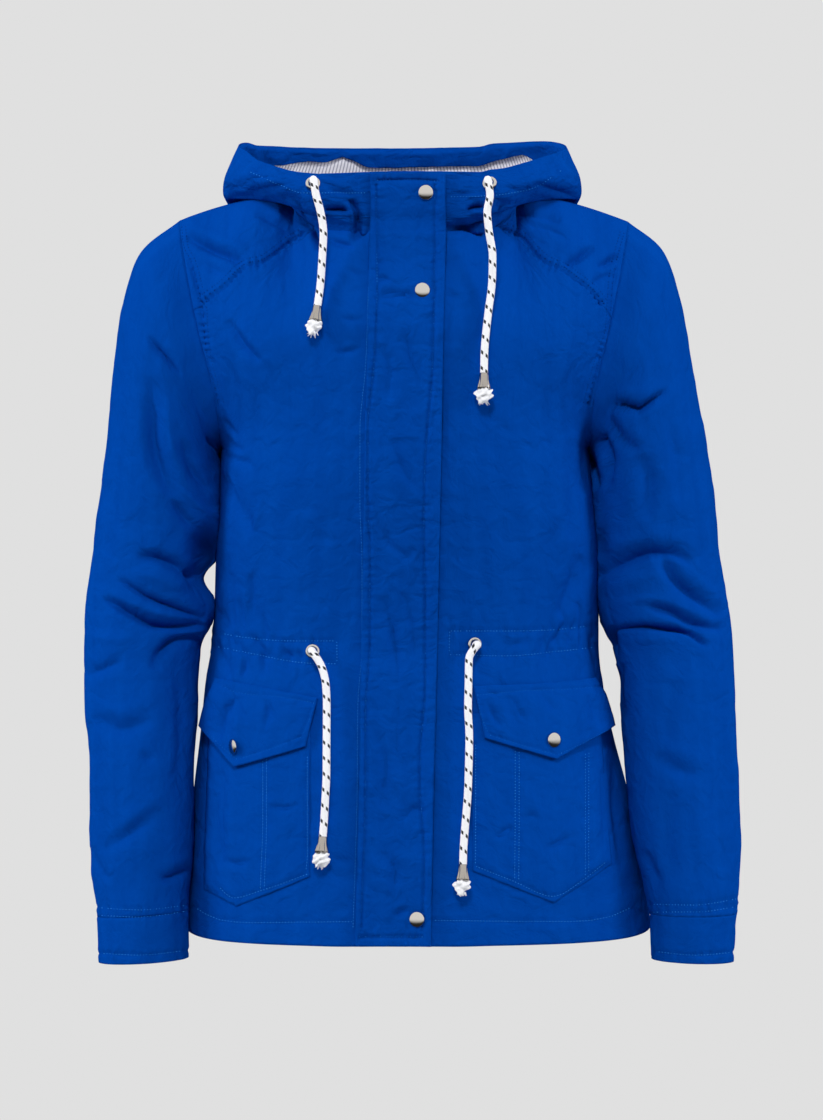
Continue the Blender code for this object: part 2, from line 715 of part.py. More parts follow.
def add_hood(materials, collection):
    angle = np.linspace(0, math.pi, 14)
    rows = np.array([0, 0.06, 0.12, 0.22, 0.32, 0.38, 0.42, 0.46, 0.54, 0.67, 0.80, 0.92, 1])[:, None]
    inner_rows = (rows[2:-1] - rows[2]) / (rows[-2] - rows[2])
    angle[0], angle[-1] = HOOD_SEAM_ANGLE
    for side in SIDES:
        cloth(f"hood_{side}", hood(side, angle + 0 * rows, rows + 0 * angle), materials["shell"], collection)
    angle[0] *= 2
    angle[-1] = math.pi
    for name, material in (("facing", "shell"), ("lining", "lining")):
        grids = []
        for side in SIDES:
            turn = (angle if side == "right" else angle[::-1][1:])[None, :]
            seam, lining_edge = facing_line(turn)
            if name == "facing":
                t = seam + (1 - seam) * np.linspace(0, 1, 3)[:, None]
            else:
                t = rows[2] + (lining_edge - rows[2]) * inner_rows
            turn = turn + 0 * t
            grids.append(hood(side, turn, t) - hood_normals(side, turn, t) * LINING_STEP)
        cloth(f"hood_{name}", np.concatenate(grids, axis=1), materials[material], collection)


def flap_surface(across, body_rows, hood_rows):
    """Points and normals of the storm flap's middle, up the front and on up the hood to its rim."""
    halves = []
    for side, sign in SIDES.items():
        offset = across[across < 0] if sign < 0 else across[across >= 0]
        v = body_rows[:, None] + 0 * offset
        height = body(side, False, np.full_like(v, 0.15), v)[..., 2]
        target = (centre_x(height) + offset) * sign
        u = solve(lambda a: body(side, False, a, v)[..., 0] * sign, target, 0.0, 0.9)
        t = hood_rows[:, None] + 0 * offset
        target = (CENTRE_X_TOP + offset) * sign + 0 * t
        angle = solve(lambda a: hood(side, a, t)[..., 0] * sign, target, 0.0, 1.2)
        places = np.concatenate([body(side, False, u, v), hood(side, angle, t)])
        ways = np.concatenate([front_normals(side, u, v), hood_normals(side, angle, t)])
        halves.append((places, ways))
    return (np.concatenate(parts, axis=1) for parts in zip(*halves))


def add_storm_flap(material, collection):
    across = FLAP_WIDTH * np.linspace(-0.5, 0.5, 6)
    body_rows = np.concatenate([low_rows(), np.linspace(1, 1.94, 5)[1:]])
    points, ways = flap_surface(across, body_rows, np.linspace(0.12, 1, 5))
    cloth("storm_flap", points + ways * LAYER_STEP, material, collection)


def patch(side, outline, layers, columns, rows):
    """A grid over a pocket or flap outline, off the front by one layer at its top and one below."""
    middle = (outline["top"] + outline["bottom"]) / 2
    ends, _ = front_place(side, (outline["x_top"] + outline["x_bottom"]) / 2, middle)
    key = np.linspace(ends[0], ends[-1], columns)
    key[np.argmin(abs(key - ends[1]))] = ends[1]
    line = {name: np.interp(key, ends, values) for name, values in outline.items()}
    share = np.linspace(0, 1, rows)[:, None]
    height = line["bottom"] + (line["top"] - line["bottom"]) * share
    across = line["x_bottom"] + (line["x_top"] - line["x_bottom"]) * share
    rise = np.clip((1 - share) / SEWN_SHARE, 0, 1)
    off = layers[0] + (layers[1] - layers[0]) * rise + line["lift"] * np.sin(math.pi / 2 * (1 - share))
    return on_front(side, across, height, off)


def add_pockets(material, collection):
    for side in SIDES:
        points = patch(side, POCKET[side], (POCKET_STEP, POCKET_STEP), 7, 6)
        cloth(f"pocket_{side}", points, material, collection)
        points = patch(side, POCKET_FLAP[side], (LAYER_STEP, POCKET_STEP + LAYER_STEP), 7, 5)
        cloth(f"pocket_flap_{side}", points, material, collection)


def snap_profile():
    edge = 0.5 * MM
    return [
        (0.0, SNAP_HEIGHT),
        (SNAP_RADIUS - 2 * edge, SNAP_HEIGHT),
        (SNAP_RADIUS, SNAP_HEIGHT - edge),
        (SNAP_RADIUS, edge),
        (SNAP_RADIUS - edge, 0.0),
        (0.0, 0.0),
    ]


def add_snaps(material, collection):
    for name, x, z in zip(SNAP_NAMES, SNAPS_ON_FLAP["x"], SNAPS_ON_FLAP["z"]):
        if z > NECK_SEAM["z"][0]:
            angle, t = hood_place("left", x, z)
            place, way = hood("left", angle, t)[0], hood_normals("left", angle, t)[0]
        else:
            u, v = front_place("left", np.full(1, x), np.full(1, z))
            place, way = body("left", False, u, v)[0], front_normals("left", u, v)[0]
        seat = place + way * (LAYER_STEP + WALL / 2 + SEAM_GAP * 2)
        turned(name, snap_profile(), seat, way, material, collection)
    for side in SIDES:
        x, z = POCKET_SNAP[side]
        u, v = front_place(side, np.full(1, x), np.full(1, z))
        way = front_normals(side, u, v)[0]
        layers = POCKET_STEP + LAYER_STEP + POCKET_FLAP[side]["lift"][1]
        seat = body(side, False, u, v)[0] + way * (layers + WALL / 2 + SEAM_GAP)
        turned(f"snap_pocket_{side}", snap_profile(), seat, way, material, collection)


def eyelet_seat(name):
    """The side, the middle and the axis of an eyelet, on the outside of the cloth."""
    eyelet = EYELETS[name]
    side = "right" if eyelet["x"] < 0 else "left"
    if eyelet["panel"] == "hood":
        angle, t = hood_place(side, abs(eyelet["x"]), eyelet["z"])
        place, way = hood(side, angle, t)[0], hood_normals(side, angle, t)[0]
    else:
        u, v = front_place(side, np.full(1, abs(eyelet["x"])), np.full(1, eyelet["z"]))
        place, way = body(side, False, u, v)[0], front_normals(side, u, v)[0]
    return side, place + way * (WALL / 2 + eyelet["off"]), way


def cord_route(name):
    """Points a cord's middle passes: out of its eyelet, then plumb down or off the cloth."""
    side, seat, way = eyelet_seat(name)
    route = CORD_ROUTE[name]
    u, v = front_place(side, abs(route["x"]), np.minimum(route["z"], NECK_SEAM["z"][0]))
    plumb = seat[1] - CORD_REACH
    hang = stack(route["x"], np.minimum(body(side, False, u, v)[..., 1] - route["off"], plumb), route["z"])
    start = [seat + way * (EYELET_HEIGHT + reach * MM) for reach in (0.5, 2.0, 4.5)]
    return np.concatenate([start, hang])


def smooth_route(points):
    """Points along a smooth curve through a route, closer together where it bends out of the eyelet."""
    keys = np.concatenate([[0], np.cumsum(np.linalg.norm(np.diff(points, axis=0), axis=1))])
    fine = np.linspace(0, keys[-1], 400)
    curve = stack(*[through(keys, points[:, axis], fine) for axis in range(3)])
    lengths = np.concatenate([[0], np.cumsum(np.linalg.norm(np.diff(curve, axis=0), axis=1))])
    bend = np.array(BEND_STOPS)
    count = int(round((lengths[-1] - bend[-1]) / CORD_STEP))
    stops = np.concatenate([bend, np.linspace(bend[-1], lengths[-1], count + 1)[1:]])
    return stack(*[np.interp(stops, lengths, curve[:, axis]) for axis in range(3)])


def bell_profile():
    inside = 0.6 * MM
    return [
        (0.0, 0.0),
        (BELL_TOP_RADIUS, 0.0),
        (BELL_TOP_RADIUS, -0.45 * BELL_LENGTH),
        (BELL_MOUTH_RADIUS, -BELL_LENGTH),
        (BELL_MOUTH_RADIUS - inside, -BELL_LENGTH),
        (0.0, -BELL_LENGTH + inside),
    ]


def add_cords(materials, collection):
    for name in EYELETS:
        _, seat, way = eyelet_seat(name)
        ring = [
            (EYELET_HOLE, EYELET_HEIGHT),
            (EYELET_RADIUS - 0.8 * MM, EYELET_HEIGHT),
            (EYELET_RADIUS, 0.0),
            (EYELET_HOLE, 0.0),
        ]
        turned(f"eyelet_{name}", ring, seat, way, materials["nickel"], collection)
        path = smooth_route(cord_route(name))
        curve = bpy.data.curves.new(f"cord_{name}", "CURVE")
        curve.dimensions = "3D"
        curve.bevel_depth = CORD_DIAMETER / 2
        curve.bevel_resolution = 3
        curve.use_fill_caps = True
        spline = curve.splines.new("POLY")
        spline.points.add(len(path) - 1)
        for point, place in zip(spline.points, path):
            point.co = (*place, 1.0)
        add_object(f"cord_{name}", curve, materials["braid"], collection)
        down = path[-1] - path[-2]
        down /= np.linalg.norm(down)
        head = path[-1] + down * SEAM_GAP
        turned(f"bell_{name}", bell_profile(), head, -down, materials["nickel"], collection, 12)
        knot_top = head + down * (BELL_LENGTH + SEAM_GAP)
        add_knot(f"knot_{name}", knot_top, down, materials["braid"], collection)


def add_knot(name, top, down, material, collection):
    """The frayed knot as a plain lump below the bell."""
    shape = bmesh.new()
    bmesh.ops.create_uvsphere(shape, u_segments=10, v_segments=7, radius=0.5)
    for vertex in shape.verts:
        vertex.co.x *= KNOT_WIDTH
        vertex.co.y *= KNOT_WIDTH
        vertex.co.z *= KNOT_LENGTH
    mesh = bpy.data.meshes.new(name)
    shape.to_mesh(mesh)
    shape.free()
    mesh.shade_smooth()
    thing = add_object(name, mesh, material, collection)
    turn = Vector(-down).to_track_quat("Z", "Y").to_matrix().to_4x4()
    thing.matrix_world = Matrix.Translation(Vector(top + down * KNOT_LENGTH / 2)) @ turn


def main():
    for thing in list(bpy.data.objects):
        bpy.data.objects.remove(thing, do_unlink=True)
    collection = bpy.data.collections.new(OBJECT_NAME)
    bpy.context.scene.collection.children.link(collection)
    materials = {name: make_material(name) for name in COLOURS}
    add_body(materials["shell"], collection)
    add_sleeves(materials["shell"], collection)
    add_hood(materials, collection)
    add_storm_flap(materials["shell"], collection)
    add_pockets(materials["shell"], collection)
    add_snaps(materials["nickel"], collection)
    add_cords(materials, collection)


main()
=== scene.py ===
import json
import math
from functools import partial

import bmesh
import bpy
import numpy as np
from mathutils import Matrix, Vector
from mathutils.bvhtree import BVHTree

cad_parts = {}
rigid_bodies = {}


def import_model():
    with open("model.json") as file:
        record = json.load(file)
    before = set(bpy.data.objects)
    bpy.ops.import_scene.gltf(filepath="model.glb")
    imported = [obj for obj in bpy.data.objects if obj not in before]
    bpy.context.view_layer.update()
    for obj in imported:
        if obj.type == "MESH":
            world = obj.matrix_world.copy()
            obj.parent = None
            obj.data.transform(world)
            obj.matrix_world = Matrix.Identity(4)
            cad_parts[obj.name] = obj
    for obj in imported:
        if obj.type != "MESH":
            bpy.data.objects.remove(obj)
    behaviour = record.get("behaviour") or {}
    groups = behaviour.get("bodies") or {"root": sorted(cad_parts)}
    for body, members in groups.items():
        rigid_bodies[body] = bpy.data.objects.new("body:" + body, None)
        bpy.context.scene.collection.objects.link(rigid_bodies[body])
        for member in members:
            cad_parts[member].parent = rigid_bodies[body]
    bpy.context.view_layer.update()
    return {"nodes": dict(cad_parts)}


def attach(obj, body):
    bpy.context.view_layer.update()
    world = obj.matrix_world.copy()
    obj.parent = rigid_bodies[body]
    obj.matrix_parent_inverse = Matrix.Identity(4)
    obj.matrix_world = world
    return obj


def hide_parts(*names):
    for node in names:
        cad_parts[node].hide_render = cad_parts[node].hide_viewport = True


for thing in list(bpy.data.objects):
    bpy.data.objects.remove(thing)
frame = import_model()
print("frame loaded with", len(frame["nodes"]), "nodes")

mm = 0.001
sides = {"right": -1.0, "left": 1.0}  # the wearer's sides, so right is at the picture's left

# where the photo was taken from, and what one of its 823 by 1120 pixels spans at the garment's middle
shot = {"place": (0.0057, -3.2, -0.3036), "pixel": 0.00088, "middle": (411.5, 560.0), "lens": 116.9}


def table(columns, rows):
    return {name: np.array(values) * mm for name, values in zip(columns.split(), zip(*rows))}


def hermite(start, startWay, end, endWay, share):
    square, cube = share**2, share**3
    first, last = 2 * cube - 3 * square + 1, 3 * square - 2 * cube
    return first * start + (cube - 2 * square + share) * startWay + last * end + (cube - square) * endWay


# a smooth curve through table rows that never overshoots
def through(keys, values, at):
    keys, values = np.asarray(keys, float), np.asarray(values, float)
    step = np.diff(keys)
    slope = np.diff(values) / step
    tangent = np.concatenate([slope[:1], np.zeros(len(slope) - 1), slope[-1:]])
    blend = (slope[:-1] * step[1:] + slope[1:] * step[:-1]) / (step[:-1] + step[1:])
    most = 2.5 * np.minimum(abs(slope[:-1]), abs(slope[1:]))
    tangent[1:-1] = np.where(slope[:-1] * slope[1:] > 0, np.clip(blend, -most, most), 0)
    at = np.clip(at, keys[0], keys[-1])
    row = np.clip(np.searchsorted(keys, at, side="right") - 1, 0, len(step) - 1)
    share = (at - keys[row]) / step[row]
    return hermite(values[row], tangent[row] * step[row], values[row + 1], tangent[row + 1] * step[row], share)


def smoothStep(low, high, at):
    share = np.clip((at - low) / (high - low), 0, 1)
    return share**2 * (3 - 2 * share)


def stack(*parts):
    return np.stack(np.broadcast_arrays(*parts), axis=-1)


def unit(vectors):
    return vectors / np.maximum(np.linalg.norm(vectors, axis=-1, keepdims=True), 1e-12)


def lengthsAlong(points):
    return np.concatenate([[0], np.cumsum(np.linalg.norm(np.diff(points, axis=0), axis=1))])


# where a rising function meets its target
def solve(function, target, low, high):
    low, high = np.full_like(target, low), np.full_like(target, high)
    for _ in range(24):
        middle = (low + high) / 2
        under = function(middle) < target
        low, high = np.where(under, middle, low), np.where(under, high, middle)
    return (low + high) / 2


# smooth random hills between -1 and 1, one unit apart
def hills(x, y, seed):
    heights = np.random.RandomState(seed).rand(64, 64) * 2 - 1
    column, row = np.floor(x).astype(int), np.floor(y).astype(int)
    across, up = x - column, y - row
    across, up = across**3 * (across * (across * 6 - 15) + 10), up**3 * (up * (up * 6 - 15) + 10)
    low = heights[row % 64, column % 64] * (1 - across) + heights[row % 64, (column + 1) % 64] * across
    high = heights[(row + 1) % 64, column % 64] * (1 - across) + heights[(row + 1) % 64, (column + 1) % 64] * across
    return low * (1 - up) + high * up


# the photo's pixel that each point is seen at
def inPicture(points):
    span = shot["pixel"] * (points[..., 1] - shot["place"][1]) / -shot["place"][1]
    across = shot["middle"][0] + (points[..., 0] - shot["place"][0]) / span
    return across, shot["middle"][1] - (points[..., 2] - shot["place"][2]) / span


# a smooth line through given picture points
def bend(points, count=14):
    points = np.array(points, float)
    if len(points) == 2:
        return points[0] + (points[1] - points[0]) * np.linspace(0, 1, count)[:, None]
    keys = lengthsAlong(points)
    at = np.linspace(0, keys[-1], count)
    return np.stack([through(keys, points[:, axis], at) for axis in (0, 1)], axis=-1)


# signed distance to a picture line, positive below it or left of it, and the way along it
def nearLine(px, py, line):
    best = np.full(px.shape, np.inf)
    across, along, start = np.zeros(px.shape), np.zeros(px.shape), 0.0
    for (ax, ay), (bx, by) in zip(line, line[1:]):
        dx, dy = bx - ax, by - ay
        length = math.hypot(dx, dy)
        share = np.clip(((px - ax) * dx + (py - ay) * dy) / length**2, 0, 1)
        rx, ry = px - ax - share * dx, py - ay - share * dy
        gap = np.hypot(rx, ry)
        nearer = gap < best
        best = np.where(nearer, gap, best)
        across = np.where(nearer, gap * np.sign(dx * ry - dy * rx), across)
        along = np.where(nearer, start + share * length, along)
        start += length
    return across, along, start


def closeTo(px, py, line, reach):
    low, high = line.min(axis=0) - reach, line.max(axis=0) + reach
    return (px > low[0]) & (px < high[0]) & (py > low[1]) & (py < high[1])


# creases: half width in pixels, depth in millimetres (troughs negative), lean to one flank, then the picture line's x and y
foldLook = {"narrow": 0.85, "troughs": 1.5, "reach": 3.2, "flank": 1.7, "ends": 0.6}


def creaseField(px, py, creases):
    move = np.zeros(px.shape)
    for half, depth, lean, *places in creases:
        line, half = bend(np.reshape(places, (-1, 2))), foldLook["narrow"] * half
        depth = depth * (foldLook["troughs"] if depth < 0 else 1.0)
        near = closeTo(px, py, line, foldLook["reach"] * half)
        if not near.any():
            continue
        across, along, total = nearLine(px[near], py[near], line)
        width = half * np.where(across > 0, 1 - lean, 1 + lean)
        ends = np.sin(np.pi * np.clip(along / total, 0, 1)) ** foldLook["ends"]
        move[near] += depth * mm * np.exp(-(abs(across / width) ** foldLook["flank"])) * ends
    return move


# seams along picture lines that are sewn alike, and every row of some tables of rows
def sewnAs(rows, look):
    return [{"line": row, **look} for row in rows]


def allRows(*tables):
    return [row for table in tables for rows in table.values() for row in rows]


# seams: picture line, groove and pucker depth in millimetres, pucker length, reach and groove half width in pixels
def seamField(px, py, seams):
    move = np.zeros(px.shape)
    for seam in seams:
        line = bend(seam["line"], 30)
        near = closeTo(px, py, line, 3 * seam["reach"])
        if not near.any():
            continue
        across, along, total = nearLine(px[near], py[near], line)
        inside = (along > 0) & (along < total)
        groove = -seam["groove"] * np.exp(-((across / seam.get("half", 2.2)) ** 2))
        wave = seam["wave"]
        drift = hills(along / wave / 3, along * 0 + 0.5, 7)
        beat = np.sin(2 * np.pi * along / wave + 5 * drift) * (0.6 + 0.6 * hills(along / wave / 2, along * 0 + 3.5, 8))
        pucker = seam["pucker"] * beat * np.exp(-((across / seam["reach"]) ** 2))
        move[near] += (groove + pucker) * mm * inside
    return move


bodyTable = table(
    "z right left front back",
    [
        (-621, 193, 216, -139, 130), (-566, 190, 207, -135, 126), (-512, 186, 197, -128, 118), (-450, 179, 181, -120, 106),
        (-410, 175, 173, -115, 97), (-374, 169, 170, -110, 89), (-300, 166, 170, -116, 91), (-225, 162, 163, -124, 99),
        (-130, 161, 160, -121, 103),
    ],
)
bodyShape = {
    "hem": -621 * mm,
    "hemDip": 8 * mm,
    "underarm": -205 * mm,
    "chest": -130 * mm,
    "sideY": 5 * mm,
    "armholeHalfDepth": 66 * mm,
    "armholeX": {"right": 172 * mm, "left": 170 * mm},
    "shoulder": {"right": (198 * mm, 2 * mm, -5 * mm), "left": (196 * mm, 2 * mm, -6 * mm)},
    "shoulderRise": 4 * mm,
    "neckSide": math.radians(100),
    "neckShare": 0.45,
    "centreTop": 2.7 * mm,
    "centreHem": -9.6 * mm,
    "fullness": 0.69,
    "belly": 1.25,
}
# soft flutes of the body: face, x, top, bottom, half width, depth
flutes = [
    ("front", -120, -240, -390, 20, 4.0),
    ("front", 128, -250, -400, 22, 4.5),
    ("front", -58, -430, -640, 20, -3.5),
    ("front", 44, -430, -640, 22, -3.5),
    ("front", -92, -90, -190, 24, 2.5),
    ("back", -70, -330, -640, 26, -5.0),
    ("back", 15, -340, -640, 24, -4.0),
    ("back", 95, -330, -640, 28, -5.5),
]
neckSeam = table(
    "angle x y z",
    [
        (0, 0, -83, -23), (30, 49, -73, -22), (55, 80, -50, -16), (80, 96, -19, 2), (100, 96, 8, 20), (130, 75, 44, 29),
        (180, 0, 72, 27),
    ],
)
# the slanted yoke seam's height at distances from the middle
yokeSeam = {
    "right": table("x z", [(60, 0), (78, -15), (86, -26), (99, -33), (111, -42), (122, -50), (133, -52), (141, -56),
        (154, -69), (182, -88)]),
    "left": table("x z", [(60, 0), (78, -15), (90, -24), (101, -30), (109, -39), (121, -50), (134, -55), (144, -61),
        (159, -72), (182, -100)]),
}


# a ring round the neck, 0 at centre front and 180 at centre back
def ringPoint(ring, angle):
    degrees = ring["angle"] / mm
    keys = np.concatenate([[-degrees[1]], degrees, [360 - degrees[-2]]])
    parts = []
    for name, mirror in (("x", -1), ("y", 1), ("z", 1)):
        values = np.concatenate([[mirror * ring[name][1]], ring[name], [mirror * ring[name][-2]]])
        parts.append(through(keys, values, np.degrees(angle)))
    return stack(*parts)


def centreX(z):
    share = np.clip((z - bodyShape["hem"]) / -bodyShape["hem"], 0, 1)
    return bodyShape["centreHem"] + (bodyShape["centreTop"] - bodyShape["centreHem"]) * share


# one level of the body, from the centre line to the side seam or armhole
def bodySection(side, back, u, z):
    shape, sign, face = bodyShape, sides[side], 1.0 if back else -1.0
    depth = through(bodyTable["z"], bodyTable["back" if back else "front"], z)
    seamX = through(bodyTable["z"], bodyTable[side], z)
    rise = np.clip((z - shape["underarm"]) / (shape["chest"] - shape["underarm"]), 0, 1)
    roundEdge = np.sqrt(np.clip(1 - (1 - rise) ** 2, 0, 1))
    soft = smoothStep(shape["underarm"] - 30 * mm, shape["chest"], z)  # the cloth inside of the armhole's edge turns gently
    edgeX = seamX + (shape["armholeX"][side] - seamX) * rise**2
    edgeY = shape["sideY"] + face * shape["armholeHalfDepth"] * soft
    turn = math.radians(90) - math.radians(38) * soft
    startX = 0 * z if back else centreX(z) * sign
    handle = shape["fullness"] * abs(edgeY - depth)
    secondX = startX + shape["fullness"] * (edgeX - startX)
    thirdX, thirdY = edgeX - handle * np.cos(turn), edgeY + face * handle * np.sin(turn)
    first, second, third, fourth = (1 - u) ** 3, 3 * u * (1 - u) ** 2, 3 * u**2 * (1 - u), u**3
    x = first * startX + second * secondX + third * thirdX + fourth * edgeX
    y = (first + second) * depth + third * thirdY + fourth * edgeY
    y = y + face * shape["armholeHalfDepth"] * (roundEdge - soft) * u**9
    return stack(sign * x, y, z)


# the neck seam, then the shoulder seam
def topLine(side, back, u):
    shape, start = bodyShape, math.pi if back else 0.0
    angle = start + (shape["neckSide"] - start) * np.clip(u / shape["neckShare"], 0, 1)
    along = np.clip((u - shape["neckShare"]) / (1 - shape["neckShare"]), 0, 1)[..., None]
    end = np.array(shape["shoulder"][side])
    line = ringPoint(neckSeam, angle) + (end - ringPoint(neckSeam, np.array(shape["neckSide"]))) * along
    line[..., 2] += shape["shoulderRise"] * np.sin(math.pi * along[..., 0])
    return line * np.array([sides[side], 1.0, 1.0])


# a point of the body: v runs from 0 at the hem to 1 at the chest and 2 at the top
def body(side, back, u, v):
    shape, face = bodyShape, 1.0 if back else -1.0
    u, v = np.broadcast_arrays(np.asarray(u, float), np.asarray(v, float))
    level = shape["hem"] + (shape["chest"] - shape["hem"]) * np.clip(v, 0, 1)
    low = bodySection(side, back, u, level)
    low[..., 2] -= shape["hemDip"] * (1 - u**5) * (1 - np.clip(v, 0, 1)) ** 4
    chest = bodySection(side, back, u, np.full_like(level, shape["chest"]))
    below = bodySection(side, back, u, np.full_like(level, shape["chest"] - 5 * mm))
    top = topLine(side, back, u)
    rise, run = (top - chest)[..., 2:], abs(top - chest)[..., 1:2]
    over = smoothStep(0.2, 0.75, u)[..., None]
    lean = np.array([0.0, -face * 0.35, 0.94]) * (1 - over) + np.array([0.0, -face, 0.05]) * over
    endWay = lean * shape["belly"] * (rise * (1 - over) + run * over)
    startWay = (chest - below) / (5 * mm) * rise * shape["belly"]
    loft = hermite(chest, startWay, top, endWay, np.clip(v - 1, 0, 1)[..., None])
    points = np.where((v > 1)[..., None], loft, low)
    for where, x, highest, lowest, half, depth in flutes:
        if (where == "back") != back:
            continue
        fade = min(60, (highest - lowest) / 2) * mm
        window = smoothStep(lowest * mm - fade, lowest * mm, points[..., 2])
        window = window * (1 - smoothStep(highest * mm - fade, highest * mm, points[..., 2]))
        points[..., 1] += depth * mm * np.exp(-(((points[..., 0] - x * mm) / (half * mm)) ** 2)) * window
    return points


# v of the slanted yoke seam, or of the neck seam inside of it
def yokeLine(side, u):
    def above(v):
        place = body(side, False, u, v)
        return place[..., 2] - through(yokeSeam[side]["x"], yokeSeam[side]["z"], abs(place[..., 0]))

    return solve(above, np.zeros_like(u), 1.0, 2.0)


# u and v of the front at an outward x and a z, each solved in turn
def frontPlace(side, x, z):
    u = np.full_like(x, 0.5)
    for _ in range(3):
        v = solve(lambda b: body(side, False, u, b)[..., 2], z, 0.0, 2.0)
        u = solve(lambda a: body(side, False, a, v)[..., 0] * sides[side], x, 0.0, 1.0)
    return u, v


# unit normals of a grid of points, turned to the side that the outward vectors point to
def gridNormals(points, outward):
    along, up = np.gradient(points, axis=1), np.gradient(points, axis=0)
    normal = unit(np.cross(along, up))
    return normal * np.sign((normal * outward).sum(axis=(0, 1, 2)))


# the corners of a grid's faces
def quads(index):
    return np.stack([index[:-1, :-1], index[:-1, 1:], index[1:, 1:], index[1:, :-1]], axis=-1).reshape(-1, 4)


def linked(name, data):
    thing = bpy.data.objects.new(name, data)
    bpy.context.scene.collection.objects.link(thing)
    return thing


# a cloth wall through a grid of points, with its flat measures in metres as uv
def gridPiece(name, points, material, wall=0.8 * mm, tube=False, uvs=None):
    rows, columns = points.shape[:2]
    if uvs is None:
        across = np.linalg.norm(np.diff(points, axis=1), axis=-1).mean(axis=0)
        up = np.linalg.norm(np.diff(points, axis=0), axis=-1).mean(axis=1)
        uvs = np.meshgrid(np.concatenate([[0], np.cumsum(across)]), np.concatenate([[0], np.cumsum(up)]))
    index = np.arange(rows * columns).reshape(rows, columns)
    corners = quads(index)
    if tube:
        index[:, -1] = index[:, 0]
    faces = quads(index)
    mesh = bpy.data.meshes.new(name)
    mesh.from_pydata(points.reshape(-1, 3).tolist(), [], faces.tolist())
    layer = mesh.uv_layers.new(name="cloth")
    layer.data.foreach_set("uv", np.stack(uvs, axis=-1).reshape(-1, 2)[corners.ravel()].ravel())
    if tube:
        shape = bmesh.new()
        shape.from_mesh(mesh)
        bmesh.ops.delete(shape, geom=[v for v in shape.verts if not v.link_faces], context="VERTS")
        shape.to_mesh(mesh)
        shape.free()
    mesh.shade_smooth()
    mesh.materials.append(material)
    piece = linked(name, mesh)
    if wall:
        thick = piece.modifiers.new("wall", "SOLIDIFY")
        thick.thickness = wall
        thick.offset = 0.0
    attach(piece, "root")
    return piece


# a search tree over one or more grids of points
def surfaceTree(*grids):
    verts, faces = [], []
    for points in grids:
        rows, columns = points.shape[:2]
        faces += quads(len(verts) + np.arange(rows * columns).reshape(rows, columns)).tolist()
        verts += points.reshape(-1, 3).tolist()
    return BVHTree.FromPolygons(verts, faces)


# where a line of sight through a picture point meets a surface, from the photo's side or from behind
def seenAt(tree, px, py, behind=False):
    turn = -1.0 if behind else 1.0
    eye = Vector((shot["place"][0], turn * shot["place"][1], shot["place"][2]))
    across, up = (px - shot["middle"][0]) * shot["pixel"], (shot["middle"][1] - py) * shot["pixel"]
    aim = Vector((across, -turn * shot["place"][1], up))
    place, normal, _, _ = tree.ray_cast(eye, aim.normalized())
    if place is None:
        return None, None
    return np.array(place), np.array(normal if normal.dot(aim) < 0 else -normal)


def nodeGroup(name, outputs):
    group = bpy.data.node_groups.new(name, "ShaderNodeTree")
    for title, kind in outputs:
        group.interface.new_socket(title, in_out="OUTPUT", socket_type=kind)
    return group, group.nodes, group.links


def valueNode(nodes, links, operation, first, second):
    node = nodes.new("ShaderNodeMath")
    node.operation = operation
    for socket, value in zip(node.inputs, (first, second)):
        if isinstance(value, (int, float)):
            socket.default_value = value
        else:
            links.new(value, socket)
    return node.outputs[0]


def flatMeasures(nodes):
    flat = nodes.new("ShaderNodeUVMap")
    flat.uv_map = "cloth"
    return flat.outputs["UV"]


def ranged(nodes, links, value, limits):
    node = nodes.new("ShaderNodeMapRange")
    for title, limit in zip(("From Min", "From Max", "To Min", "To Max"), limits):
        node.inputs[title].default_value = limit
    links.new(value, node.inputs["Value"])
    return node.outputs["Result"]


# each noise has its scale, detail, stretch and kind, and its part in the tint or height
weaveLook = {
    "threads": 420,
    "wander": 0.6,
    "distortion": 0.5,
    # painted sheen: long soft lighter streaks put into the colour
    "streak": (70, 3, (1, 0.12, 1)),
    "slub": (420, 2, (1, 0.4, 1)),
    "crinkle": (60, 4),
    "ridges": (38, 3, (1, 0.6, 1), "RIDGED_MULTIFRACTAL"),
    "parts": {"streak": 0.7, "slub": 0.3, "ridges": 0.35, "weaveTint": 0.12, "weaveHeight": 0.02},
}
